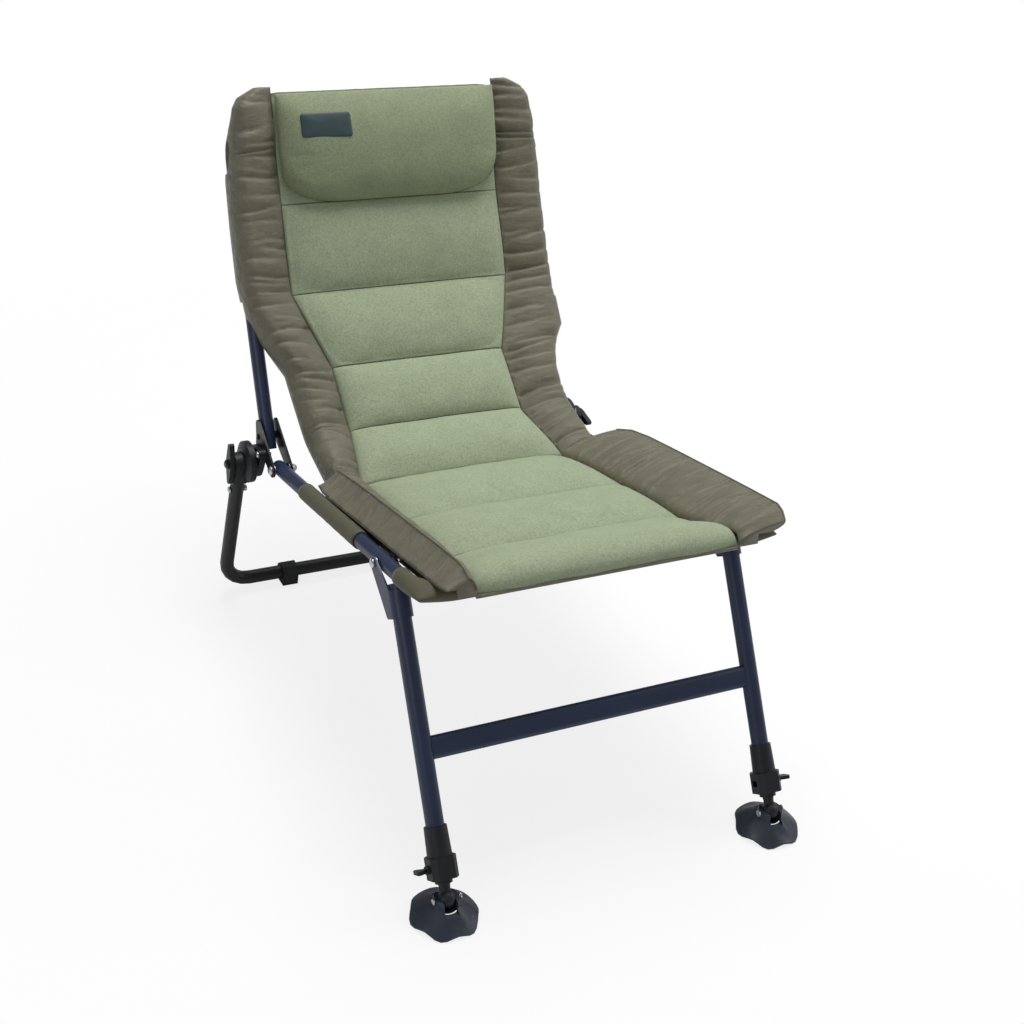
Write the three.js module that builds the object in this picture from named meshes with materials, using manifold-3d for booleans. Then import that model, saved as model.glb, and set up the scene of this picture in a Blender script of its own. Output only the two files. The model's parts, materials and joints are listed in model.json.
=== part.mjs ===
// A reclining bank chair that folds flat: a tilted seat frame, a back frame on hinge plates,
// a rear leg that locks on toothed discs, and two front legs with sliding stems and mud feet.
// Millimetres and radians. +X is to the right of someone who faces the chair, +Y points to the
// chair's back and +Z up. The origin is on the floor, under the middle of the chair's box.

import * as THREE from "three";
import { mergeVertices } from "three/addons/utils/BufferGeometryUtils.js";
import Module from "manifold-3d";

const wasm = await Module();
wasm.setup();

const radians = THREE.MathUtils.degToRad;
const fullTurn = Math.PI * 2;

// Clearances
const gap = 0.3;
const boreGap = 0.35;
const overrun = 60;
const weldDistance = 0.0001;

// Layout of the whole chair
const hingeSpacing = 498;
const legSpacing = 523;
const rearLegSpacing = 588;
const seatTilt = radians(13.9);
const backRecline = radians(30.5);
const frontLegLean = radians(35.5);
const rearLegLean = radians(8.2);
const pivotHeight = 282;
const seatLength = 535;
const legSetback = 130;
const legBoltReach = seatLength - legSetback;
const backLength = 555;

// Tubes
const tubeRadius = 11;
const legTubeRadius = 12.5;
const tubeWall = 1.5;
const frameSides = 16;
const boltSides = 12;
const bendStep = radians(18);
const seatCornerRadius = 48;
const backCornerRadius = 80;
const rearLegCornerRadius = 42;
const railTail = 12;
const backTubeSetback = 40;
const backTubeStart = 31;
const headLength = 186;
const headBendReach = backLength - headLength;
const headBendAngle = radians(4.5);
const headBendRadius = 260;

// Hinge plates and what fastens them
const plateThickness = 3;
const plateClearance = 1.8;
const plate = { pivotRadius: 11, topRadius: 8, topSetback: 36, topRise: 70, waistRadius: 9 };
const rivetRise = 52;
const pivotBolt = { shank: 4, head: 7.5, headHeight: 4, washer: 9, nut: 7, nutHeight: 5, tail: 8 };
const rivet = { shank: 2.9, head: 4.8, headHeight: 2, washer: 6 };
const legBolt = { shank: 3.4, head: 6.5, headHeight: 3.6, washer: 8, nut: 6.2, nutHeight: 4.5, tail: 7 };

// Toothed lock between the back and the rear leg
const lockSetback = 54.5;
const lockRise = 15.8;
const lockAxleRadius = 4;
const fixedDisc = { radius: 25, thickness: 10, bossRadius: 7, bossStand: 2 };
const lockBoss = { setback: 15.7, rise: 25.9 };
const teeth = { count: 18, inner: 13, outer: 24, height: 1.2, root: 0.6 };
const swivelDisc = { radius: 32.5, thickness: 9, domeRadius: 23, domeHeight: 5 };
const swivelNeck = { hubRadius: 17, endRadius: 11.2, reach: 30, tubeStart: 42 };
const swivelSpigot = { clearance: 0.6, length: 36 };
const lockBolt = { shank: 2.6, head: 5, headHeight: 3, nut: 5, nutHeight: 4 };
const lockAxle = { head: 8, headHeight: 5, capRadius: 7.5, capHeight: 5 };
const lever = { hubRadius: 10.5, tipRadius: 4.2, reach: 30, thickness: 8, lean: radians(12) };
const leverTurns = { left: 0, right: radians(90) };
const legScrew = { shank: 2.8, head: 5.2, headHeight: 3, nut: 5, nutHeight: 4, reach: 53 };

// Rear foot pads
const rearPad = { place: 184, width: 26, depth: 30, drop: 8, crown: 13, corner: 7 };

// Front legs
const legAxisOffset = 33.6;
const bracket = { thickness: 2.5, top: 38, bottom: 76, earRadius: 10, rearReach: 22, heelRadius: 4 };
const bracketShoulder = { reach: 36, drop: 50, radius: 8 };
const brace = { place: 252, height: 32, depth: 15, wall: 1.5 };
const ballHeight = 31;
const ballRadius = 13;
const stem = { radius: 8.5, length: 210, guideLength: 14, guideClearance: 0.4, neck: 7.5 };
const legEndAboveBall = 66;
const collar = { top: 98, radius: 15.6, footRadius: 17 };
const clampBox = { top: 58, bottom: 28, halfWidth: 19, halfDepth: 17, chamfer: 7, stepRadius: 12, step: 6 };
const clampSlot = { width: 11, height: 9, depth: 8 };
const thumbscrew = { shank: 3, place: 43, hub: 4, reach: 15, wing: 6, tip: 3.6, thickness: 5 };

// Mud feet
const mudFoot = {
  rimRadius: 49, lobes: 6, rimDip: 3.6, rimLift: 5, rimThickness: 3.2, rimFlat: 4, flute: 2.4,
  midRadius: 33, midHeight: 16, wall: 3.2, cupRadius: 19, lipRadius: 17.2, lipHeight: 4,
  cupDepth: 17, drainRadius: 6, cupSteps: 6, shoulder: 6, skirtRadius: 16.6, skirtHeight: 20, steps: 36,
};
const footSlot = { radius: 27, clearance: 1, start: radians(-25) };
const footPin = { shank: 2.4, head: 4.6, headHeight: 2 };

// Slings: sleeve ends as places along the tubes, a square pocket round each front corner
const sleeveThickness = 1.8;
const slingThickness = 2.4;
const seatSleeve = { rear: 110, bracketRoom: 81, frontRoom: 58, notch: 30 };
const seatPocket = { out: 8, forward: 5 };
const backSleeveLength = 297;
const backSlingLength = 341;
const backSlingSet = 3;

// Padding: rows along each panel and what shapes its section
const rowPitch = 30;
const seatDepth = 20;
const backDepth = 22;
const seamPinch = 2;
const panelCrown = 14;
const panelEdge = 7;
const drawIn = 5;
const edgeDraw = 1.25;
const lipClearance = 1.6;
const lipRun = 3;
const lipSteps = 5;
const lipStart = radians(60);
const lipEnd = radians(196);

// Seams and half widths as shares of the seat's length and of the space between its rails
const seatSeamShares = [0.239, 0.535, 0.819];
const seatHalfShares = [[0.239, 0.672], [0.535, 0.718], [0.819, 0.709], [1.03, 0.765]];

// The same for the back: shares of its length and of the space between its tubes
const backHalfShares = [
  [-0.05, 0.683], [0.072, 0.594], [0.256, 0.59], [0.472, 0.747], [0.748, 0.743], [1.02, 0.751],
];
const sideOuterShares = [
  [-0.05, 0.932], [0.108, 0.932], [0.198, 0.892], [0.288, 0.944], [0.474, 1.056],
  [0.79, 1.053], [0.923, 1.02], [0.982, 0.985], [1.016, 0.93],
];
const creaseDrop = { setback: -33, rise: 36 };
const lumbar = { setback: 10, rise: 138 };

// Places near the head, measured down from the axis of the top tube
const topTuck = { start: 70, end: 27, over: 9, depth: 10 };
const pillow = {
  length: 156, roundLength: 32, shoulderShare: 0.28, startShare: 0.55, bowShare: 0.5,
  endShare: 0.08, fullnessShare: 0.5,
};
const pillowCrown = 22;

// Side padding: shares of the seat's length, the rail's place, the height and the floor's rise
const bolsterHeight = 44;
const bolsterShares = [
  [0.239, 1, 0.75, 0], [0.3, 1.024, 0.91, 0], [0.387, 1.024, 0.98, 0], [0.535, 1.016, 1, 0],
  [0.819, 1.002, 1, 0], [0.893, 0.997, 1, 0], [0.916, 0.998, 1, 1], [1.009, 0.992, 0.98, 1],
  [1.036, 0.984, 0.86, 1],
];
const crestShares = [[0.2, 0.72], [0.5, 0.92], [0.78, 1], [0.93, 0.92]];
const innerEdgeShare = 0.55;
const sideShares = [[0.15, 0.55], [0.4, 0.85], [0.7, 1], [0.92, 0.85]];
const footShare = 0.17;
const sideCrown = 16;

// Materials, with colours read off the object
function finish(color, roughness, metalness) {
  return new THREE.MeshStandardMaterial({ color, roughness, metalness });
}

const navySteel = finish(0x2b303c, 0.42, 0.35);
const blackSteel = finish(0x1d1e21, 0.45, 0.3);
const blackPlastic = finish(0x1b1d20, 0.55, 0);
const footPlastic = finish(0x2c323d, 0.6, 0);
const zinc = finish(0xc4c8cc, 0.3, 0.9);
const sageFleece = finish(0x8b947a, 0.95, 0);
const oliveSatin = finish(0x6c6a57, 0.5, 0);
const oliveCanvas = finish(0x4e4d3b, 0.8, 0);

// Helpers for solids

function reversed(geometry) {
  const flipped = geometry.index ? geometry.toNonIndexed() : geometry.clone();
  const places = flipped.attributes.position;
  const corner = new THREE.Vector3();
  const other = new THREE.Vector3();
  for (let first = 0; first < places.count; first += 3) {
    corner.fromBufferAttribute(places, first + 1);
    other.fromBufferAttribute(places, first + 2);
    places.setXYZ(first + 1, other.x, other.y, other.z);
    places.setXYZ(first + 2, corner.x, corner.y, corner.z);
  }
  flipped.deleteAttribute("uv");
  flipped.computeVertexNormals();
  return flipped;
}

function handed(geometry, side) {
  return side > 0 ? geometry : reversed(geometry).scale(side, 1, 1);
}

function enclosedVolume(geometry) {
  const loose = geometry.index ? geometry.toNonIndexed() : geometry;
  const places = loose.attributes.position;
  const [a, b, c] = [new THREE.Vector3(), new THREE.Vector3(), new THREE.Vector3()];
  let sum = 0;
  for (let first = 0; first < places.count; first += 3) {
    a.fromBufferAttribute(places, first);
    b.fromBufferAttribute(places, first + 1);
    c.fromBufferAttribute(places, first + 2);
    sum += a.dot(b.cross(c));
  }
  return sum;
}

function outward(geometry) {
  return enclosedVolume(geometry) < 0 ? reversed(geometry) : geometry;
}

function solidOf(geometry) {
  const bare = geometry.clone();
  bare.deleteAttribute("normal");
  bare.deleteAttribute("uv");
  const merged = mergeVertices(bare, weldDistance);
  return new wasm.Manifold(new wasm.Mesh({
    numProp: 3,
    vertProperties: new Float32Array(merged.attributes.position.array),
    triVerts: new Uint32Array(merged.index.array),
  }));
}

function geometryOf(solid) {
  const result = solid.getMesh();
  const geometry = new THREE.BufferGeometry();
  geometry.setAttribute("position", new THREE.BufferAttribute(result.vertProperties, 3));
  geometry.setIndex(new THREE.BufferAttribute(result.triVerts, 1));
  geometry.computeVertexNormals();
  return geometry;
}

function cut(body, ...tools) {
  return geometryOf(tools.reduce((solid, tool) => solid.subtract(solidOf(tool)), solidOf(body)));
}

function join(body, ...others) {
  return geometryOf(others.reduce((solid, other) => solid.add(solidOf(other)), solidOf(body)));
}

function common(body, other) {
  return geometryOf(solidOf(body).intersect(solidOf(other)));
}

// Tubes follow a path whose stations are set one by one, so straight runs take no extra rings.

class StationPath extends THREE.Curve {
  constructor(stations) {
    super();
    this.stations = stations;
  }

  getPoint(share, target = new THREE.Vector3()) {
    const last = this.stations.length - 1;
    const place = THREE.MathUtils.clamp(share, 0, 1) * last;
    const index = Math.min(Math.floor(place), last - 1);
    return target.lerpVectors(this.stations[index], this.stations[index + 1], place - index);
  }

  getPointAt(share, target) {
    return this.getPoint(share, target);
  }

  getTangent(share, target = new THREE.Vector3()) {
    const last = this.stations.length - 1;
    const index = Math.round(THREE.MathUtils.clamp(share, 0, 1) * last);
    const into = direction(this.stations[Math.max(index - 1, 0)], this.stations[Math.max(index, 1)]);
    const out = direction(this.stations[Math.min(index, last - 1)], this.stations[Math.min(index + 1, last)]);
    return target.copy(into).add(out).normalize();
  }

  getTangentAt(share, target) {
    return this.getTangent(share, target);
  }
}

function direction(from, to) {
  return to.clone().sub(from).normalize();
}

function bend(before, corner, after, radius) {
  const into = direction(before, corner);
  const out = direction(corner, after);
  const angle = into.angleTo(out);
  const inward = out.clone().addScaledVector(into, -Math.cos(angle)).normalize();
  const start = corner.clone().addScaledVector(into, -radius * Math.tan(angle / 2));
  const steps = Math.max(2, Math.round(angle / bendStep));
  return Array.from({ length: steps + 1 }, (_, step) => {
    const turn = (angle * step) / steps;
    return start.clone()
      .addScaledVector(into, radius * Math.sin(turn))
      .addScaledVector(inward, radius * (1 - Math.cos(turn)));
  });
}

// Corners are [point, bend radius]; the first and last need no radius.
function bentStations(corners) {
  const last = corners.length - 1;
  return corners.flatMap(([point, radius], index) =>
    index === 0 || index === last
      ? [point.clone()]
      : bend(corners[index - 1][0], point, corners[index + 1][0], radius));
}

function circlePath(radius) {
  return new THREE.Shape().absarc(0, 0, radius, 0, fullTurn);
}

function tube(stations, radius, wall = 0) {
  const outline = circlePath(radius);
  if (wall) {
    outline.holes.push(circlePath(radius - wall));
  }
  return new THREE.ExtrudeGeometry(outline, {
    steps: stations.length - 1,
    extrudePath: new StationPath(stations),
    curveSegments: frameSides / 2,
  });
}

function mirroredCorners(corners) {
  const other = corners.map(([point, radius]) => [point.clone().setX(-point.x), radius]);
  return [...corners, ...other.reverse()];
}

// Flat pieces: an outline in the YZ plane, given thickness along X from the place start.

function slab(outline, start, thickness) {
  const geometry = new THREE.ExtrudeGeometry(outline, { depth: thickness, bevelEnabled: false });
  const axes = new THREE.Matrix4().makeBasis(
    new THREE.Vector3(0, 1, 0),
    new THREE.Vector3(0, 0, 1),
    new THREE.Vector3(1, 0, 0),
  );
  return geometry.applyMatrix4(axes).translate(start, 0, 0);
}

function turnSide(first, second, third) {
  return (second.x - first.x) * (third.y - first.y) - (second.y - first.y) * (third.x - first.x);
}

function halfHull(points) {
  const chain = [];
  for (const point of points) {
    while (chain.length > 1 && turnSide(chain.at(-2), chain.at(-1), point) <= 0) {
      chain.pop();
    }
    chain.push(point);
  }
  return chain.slice(0, -1);
}

// The outline of a belt drawn tight round circles, each [y, z, radius].
function beltOutline(circles) {
  const steps = frameSides;
  const points = circles.flatMap(([y, z, radius]) =>
    Array.from({ length: steps }, (_, step) => {
      const angle = (fullTurn * step) / steps;
      return new THREE.Vector2(y + radius * Math.cos(angle), z + radius * Math.sin(angle));
    }));
  points.sort((one, other) => one.x - other.x || one.y - other.y);
  return new THREE.Shape([...halfHull(points), ...halfHull([...points].reverse())]);
}

function rodAlongX(radius, start, end, y = 0, z = 0) {
  return new THREE.CylinderGeometry(radius, radius, end - start, boltSides)
    .rotateZ(-Math.PI / 2)
    .translate((start + end) / 2, y, z);
}

// Turned pieces: a profile of [radius, height], turned about Y, then laid along X or Z.

function turned(profile, sides = frameSides) {
  const points = profile.map(([radius, height]) => new THREE.Vector2(radius, height));
  return outward(new THREE.LatheGeometry(points, sides));
}

function turnedAlongX(profile, sides) {
  return turned(profile, sides).rotateZ(-Math.PI / 2);
}

function turnedAlongZ(profile, sides) {
  return turned(profile, sides).rotateX(Math.PI / 2);
}

// A bolt, screw or rivet along X: domed head beyond the place headSeat, collars as
// [start, end, radius] and a shank that ends at the place end.
function boltAlongX(size, headSeat, end, collars) {
  const profile = [[0, end], [size.shank, end]];
  for (const [start, finishPlace, radius] of collars) {
    profile.push([size.shank, start], [radius, start], [radius, finishPlace], [size.shank, finishPlace]);
  }
  const crownShare = 0.62;
  profile.push(
    [size.shank, headSeat],
    [size.head, headSeat],
    [size.head, headSeat + size.headHeight / 2],
    [size.head * crownShare, headSeat + size.headHeight],
    [0, headSeat + size.headHeight],
  );
  return turnedAlongX(profile, boltSides);
}

function nutAlongX(radius, bore, start, height) {
  const outline = new THREE.Shape(Array.from({ length: 6 }, (_, corner) => {
    const angle = (fullTurn * corner) / 6;
    return new THREE.Vector2(radius * Math.cos(angle), radius * Math.sin(angle));
  }));
  outline.holes.push(new THREE.Path().absarc(0, 0, bore, 0, fullTurn, true));
  return slab(outline, start, height);
}

// Soft pieces and discs are lofts: rings of equal length, capped, or closed round a loop.

function loftFaces(ringCount, ringSize, closedLoop) {
  const faces = [];
  const spans = closedLoop ? ringCount : ringCount - 1;
  for (let ring = 0; ring < spans; ring += 1) {
    const next = (ring + 1) % ringCount;
    for (let point = 0; point < ringSize; point += 1) {
      const after = (point + 1) % ringSize;
      const [a, b] = [ring * ringSize + point, ring * ringSize + after];
      const [c, d] = [next * ringSize + point, next * ringSize + after];
      faces.push(a, b, d, a, d, c);
    }
  }
  return faces;
}

function loft(rings, closedLoop = false) {
  const size = rings[0].length;
  const points = rings.flat();
  const faces = loftFaces(rings.length, size, closedLoop);
  if (!closedLoop) {
    for (const [ring, start] of [[rings[0], 0], [rings.at(-1), (rings.length - 1) * size]]) {
      const middle = ring.reduce((sum, point) => sum.add(point), new THREE.Vector3());
      const centre = points.push(middle.divideScalar(size)) - 1;
      for (let point = 0; point < size; point += 1) {
        const pair = [start + point, start + ((point + 1) % size)];
        faces.push(...(start === 0 ? pair.reverse() : pair), centre);
      }
    }
  }
  const geometry = new THREE.BufferGeometry().setFromPoints(points);
  geometry.setIndex(faces);
  geometry.computeVertexNormals();
  return outward(geometry);
}

// Frames of reference, all from the hinge pivot: [y, z] in the seat's plane or along the back.

function fromSeat(y, z) {
  return new THREE.Vector2(
    y * Math.cos(seatTilt) + z * Math.sin(seatTilt),
    z * Math.cos(seatTilt) - y * Math.sin(seatTilt),
  );
}

function fromBack(setback, rise) {
  return new THREE.Vector2(
    setback * Math.cos(backRecline) + rise * Math.sin(backRecline),
    rise * Math.cos(backRecline) - setback * Math.sin(backRecline),
  );
}

function groupAt(place, angle) {
  const group = new THREE.Group();
  group.position.set(0, place.x, place.y);
  group.rotation.x = angle;
  return group;
}

const seatNormal = fromSeat(0, 1);

const chair = new THREE.Group();
const seatGroup = groupAt(fromSeat(0, 0), -seatTilt);
const backGroup = groupAt(fromBack(0, 0), -backRecline);
const lockPlace = fromBack(lockSetback, lockRise);
const legBoltPlace = fromSeat(-legBoltReach, 0);
const rearLegGroup = groupAt(lockPlace, rearLegLean);
const frontLegGroup = groupAt(legBoltPlace, -frontLegLean);
const softGroup = new THREE.Group();
chair.add(seatGroup, backGroup, rearLegGroup, frontLegGroup, softGroup);

function piece(name, geometry, material, parent) {
  const mesh = new THREE.Mesh(geometry, material);
  mesh.name = name;
  parent.add(mesh);
}

function forBothSides(build) {
  build("left", -1);
  build("right", 1);
}

// Places across the chair
const hingeX = hingeSpacing / 2;
const legX = legSpacing / 2;
const uprightX = rearLegSpacing / 2;
const plateInner = tubeRadius + plateClearance;
const plateOuter = plateInner + plateThickness;
const lockFace = hingeX + plateOuter;
const teethFace = lockFace + gap + fixedDisc.thickness + teeth.height;
const railToe = (legX - hingeX) / legBoltReach;

function railX(reach) {
  return hingeX + railToe * reach;
}

// Seat frame: two rails and the front tube in one bent length, toed in towards the hinge.

const seatCorners = mirroredCorners([
  [new THREE.Vector3(-railX(-railTail), railTail, 0)],
  [new THREE.Vector3(-railX(seatLength), -seatLength, 0), seatCornerRadius],
]);

function addSeatFrame() {
  const holes = [-1, 1].flatMap((side) => {
    const outerX = railX(seatLength);
    const [start, end] = side > 0 ? [0, outerX + overrun] : [-outerX - overrun, 0];
    return [
      rodAlongX(pivotBolt.shank + boreGap, start, end),
      rodAlongX(legBolt.shank + boreGap, start, end, -legBoltReach),
    ];
  });
  const frame = cut(tube(bentStations(seatCorners), tubeRadius, tubeWall), ...holes);
  piece("seat_frame", frame, navySteel, seatGroup);
}

// Back frame: two side tubes that bend forward at the head, and the top tube.

const headRise = headLength * Math.cos(headBendAngle);
const headForward = headLength * Math.sin(headBendAngle);

function backTubeSetbackAt(rise) {
  return backTubeSetback - Math.max(0, rise - headBendReach) * Math.tan(headBendAngle);
}

function backCorners(start) {
  return mirroredCorners([
    [new THREE.Vector3(-hingeX, backTubeSetback, start)],
    [new THREE.Vector3(-hingeX, backTubeSetback, headBendReach), headBendRadius],
    [
      new THREE.Vector3(-hingeX, backTubeSetback - headForward, headBendReach + headRise),
      backCornerRadius,
    ],
  ]);
}

function addBackFrame() {
  const holes = [-1, 1].map((side) => {
    const [start, end] = side > 0 ? [0, hingeX + overrun] : [-hingeX - overrun, 0];
    return rodAlongX(rivet.shank + boreGap, start, end, backTubeSetback, rivetRise);
  });
  const frame = cut(tube(bentStations(backCorners(backTubeStart)), tubeRadius, tubeWall), ...holes);
  piece("back_frame", frame, navySteel, backGroup);
}

// Hinge plates: two flat plates either side of the tubes; the outer one carries the lock.

function plateHoles() {
  return [
    rodAlongX(pivotBolt.shank + boreGap, 0, hingeX + overrun),
    rodAlongX(rivet.shank + boreGap, 0, hingeX + overrun, backTubeSetback, rivetRise),
  ];
}

function plateOutline() {
  return beltOutline([
    [0, 0, plate.pivotRadius],
    [plate.topSetback, plate.topRise, plate.topRadius],
    [backTubeSetback, rivetRise, plate.waistRadius],
  ]);
}

function lockPlateOutline() {
  return beltOutline([
    [lockSetback, lockRise, plate.pivotRadius],
    [lockBoss.setback, lockBoss.rise, plate.waistRadius],
    [backTubeSetback, rivetRise, plate.waistRadius],
  ]);
}

function addHingePlates() {
  const outerStart = hingeX + plateInner;
  const outer = cut(
    join(
      slab(plateOutline(), outerStart, plateThickness),
      slab(lockPlateOutline(), outerStart, plateThickness),
    ),
    ...plateHoles(),
    rodAlongX(lockAxleRadius + boreGap, 0, hingeX + overrun, lockSetback, lockRise),
    rodAlongX(lockBolt.shank + boreGap, 0, hingeX + overrun, lockBoss.setback, lockBoss.rise),
  );
  const inner = cut(slab(plateOutline(), hingeX - plateOuter, plateThickness), ...plateHoles());
  forBothSides((name, side) => {
    piece(`hinge_plate_outer_${name}`, handed(outer, side), blackSteel, backGroup);
    piece(`hinge_plate_inner_${name}`, handed(inner, side), blackSteel, backGroup);
  });
}

function addPivotBolts() {
  const washers = [
    [hingeX - plateInner + gap, hingeX - tubeRadius - gap, pivotBolt.washer],
    [hingeX + tubeRadius + gap, hingeX + plateInner - gap, pivotBolt.washer],
  ];
  const innerFace = hingeX - plateOuter - gap;
  const bolt = boltAlongX(pivotBolt, lockFace + gap, innerFace - pivotBolt.tail, washers);
  const nut = nutAlongX(
    pivotBolt.nut, pivotBolt.shank + boreGap, innerFace - pivotBolt.nutHeight, pivotBolt.nutHeight,
  );
  forBothSides((name, side) => {
    piece(`pivot_bolt_${name}`, handed(bolt, side), zinc, backGroup);
    piece(`pivot_nut_${name}`, handed(nut, side), zinc, backGroup);
  });
}

function addPlateRivets() {
  const innerFace = hingeX - plateOuter - gap;
  const collars = [
    [innerFace - rivet.headHeight, innerFace, rivet.head],
    [hingeX - plateInner + gap, hingeX - tubeRadius - gap, rivet.washer],
    [hingeX + tubeRadius + gap, hingeX + plateInner - gap, rivet.washer],
  ];
  const body = boltAlongX(rivet, lockFace + gap, innerFace - rivet.headHeight, collars)
    .translate(0, backTubeSetback, rivetRise);
  forBothSides((name, side) => {
    piece(`plate_rivet_${name}`, handed(body, side), blackSteel, backGroup);
  });
}

// Lock: the fixed disc is bolted to the outer plate, the swivel disc carries the rear leg.

function toothRing(face, towards) {
  const count = teeth.count * 2;
  const rings = Array.from({ length: count }, (_, step) => {
    const angle = (fullTurn * step) / count;
    const height = step % 2 === 0 ? teeth.height : 0;
    const corners = [
      [teeth.inner, face - towards * teeth.root],
      [teeth.outer, face - towards * teeth.root],
      [teeth.outer, face + towards * height],
      [teeth.inner, face + towards * height],
    ];
    return corners.map(([radius, x]) =>
      new THREE.Vector3(x, radius * Math.cos(angle), radius * Math.sin(angle)));
  });
  return loft(rings, true);
}

function addFixedDiscs() {
  const start = lockFace + gap;
  const face = start + fixedDisc.thickness;
  const [bossY, bossZ] = [lockBoss.setback - lockSetback, lockBoss.rise - lockRise];
  const body = slab(
    beltOutline([[0, 0, fixedDisc.radius], [bossY, bossZ, fixedDisc.bossRadius]]), start, fixedDisc.thickness,
  );
  const boss = rodAlongX(fixedDisc.bossRadius, start, face + fixedDisc.bossStand, bossY, bossZ);
  const disc = cut(
    join(body, boss, toothRing(face, 1)),
    rodAlongX(lockAxleRadius + boreGap, 0, face + overrun),
    rodAlongX(lockBolt.shank + boreGap, 0, face + overrun, bossY, bossZ),
  ).translate(0, lockSetback, lockRise);
  const nutEnd = hingeX + plateInner - gap;
  const bolt = boltAlongX(lockBolt, face + fixedDisc.bossStand + gap, nutEnd - lockBolt.nutHeight, [
    [nutEnd - lockBolt.nutHeight, nutEnd, lockBolt.nut],
  ]).translate(0, lockBoss.setback, lockBoss.rise);
  forBothSides((name, side) => {
    piece(`lock_fixed_disc_${name}`, handed(disc, side), blackPlastic, backGroup);
    piece(`lock_disc_bolt_${name}`, handed(bolt, side), zinc, backGroup);
  });
}

function addLockAxles() {
  const leverEnd = uprightX + tubeRadius + gap + lever.thickness;
  const headEnd = hingeX + plateInner - gap;
  const size = { shank: lockAxleRadius, head: lockAxle.capRadius, headHeight: lockAxle.capHeight };
  const axle = boltAlongX(size, leverEnd + gap, headEnd - lockAxle.headHeight, [
    [headEnd - lockAxle.headHeight, headEnd, lockAxle.head],
  ]);
  forBothSides((name, side) => {
    piece(`lock_axle_${name}`, handed(axle, side), blackSteel, rearLegGroup);
  });
}

// Rear leg group: its origin is the lock's axis and its tube runs down -Z.

const rearBarHeight = rearPad.drop + tubeRadius;
const rearLegDrop = (pivotHeight + lockPlace.y - rearBarHeight) / Math.cos(rearLegLean);

function addRearLeg() {
  const corners = mirroredCorners([
    [new THREE.Vector3(-uprightX, 0, -swivelNeck.tubeStart - gap)],
    [new THREE.Vector3(-uprightX, 0, -rearLegDrop), rearLegCornerRadius],
  ]);
  const holes = [-1, 1].map((side) => {
    const [start, end] = side > 0 ? [0, uprightX + overrun] : [-uprightX - overrun, 0];
    return rodAlongX(legScrew.shank + boreGap, start, end, 0, -legScrew.reach);
  });
  const leg = cut(tube(bentStations(corners), tubeRadius, tubeWall), ...holes);
  piece("rear_leg", leg, blackSteel, rearLegGroup);
}

function swivelBody() {
  const base = teethFace + gap + teeth.height;
  const discEnd = base + swivelDisc.thickness;
  const disc = turnedAlongX([
    [0, base],
    [swivelDisc.radius, base],
    [swivelDisc.radius, discEnd],
    [swivelDisc.domeRadius, discEnd + swivelDisc.domeHeight],
    [0, discEnd + swivelDisc.domeHeight],
  ], frameSides * 2);
  const neck = slab(
    beltOutline([[0, 0, swivelNeck.hubRadius], [0, -swivelNeck.reach, swivelNeck.endRadius]]),
    uprightX - tubeRadius, tubeRadius * 2,
  );
  const spigotRadius = tubeRadius - tubeWall - swivelSpigot.clearance;
  const spigotEnd = swivelNeck.tubeStart + swivelSpigot.length;
  const spigot = turnedAlongZ([
    [0, swivelNeck.reach], [tubeRadius, swivelNeck.reach], [tubeRadius, swivelNeck.tubeStart],
    [spigotRadius, swivelNeck.tubeStart], [spigotRadius, spigotEnd], [0, spigotEnd],
  ]).rotateX(Math.PI).translate(uprightX, 0, 0);
  return join(disc, neck, spigot, toothRing(base, -1));
}

function addSwivelDiscs() {
  const disc = cut(
    swivelBody(),
    rodAlongX(lockAxleRadius + boreGap, 0, uprightX + overrun),
    rodAlongX(legScrew.shank + boreGap, 0, uprightX + overrun, 0, -legScrew.reach),
  );
  forBothSides((name, side) => {
    piece(`lock_swivel_disc_${name}`, handed(disc, side), blackPlastic, rearLegGroup);
  });
}

function addLevers() {
  const start = uprightX + tubeRadius + gap;
  const wing = (turnSign) => beltOutline([
    [0, 0, lever.hubRadius],
    [
      turnSign * lever.reach * Math.sin(lever.lean),
      turnSign * lever.reach * Math.cos(lever.lean),
      lever.tipRadius,
    ],
  ]);
  const body = cut(
    join(slab(wing(1), start, lever.thickness), slab(wing(-1), start, lever.thickness)),
    rodAlongX(lockAxleRadius + boreGap, 0, start + overrun),
  );
  forBothSides((name, side) => {
    const turned = handed(body, side).rotateX(leverTurns[name]);
    piece(`lock_lever_${name}`, turned, blackPlastic, rearLegGroup);
  });
}

function addLegScrews() {
  const outer = uprightX + tubeRadius + gap;
  const inner = uprightX - tubeRadius - gap;
  const screw = boltAlongX(legScrew, outer, inner - legScrew.nutHeight, [
    [inner - legScrew.nutHeight, inner, legScrew.nut],
  ]).translate(0, 0, -legScrew.reach);
  forBothSides((name, side) => {
    piece(`rear_leg_screw_${name}`, handed(screw, side), zinc, rearLegGroup);
  });
}

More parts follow.
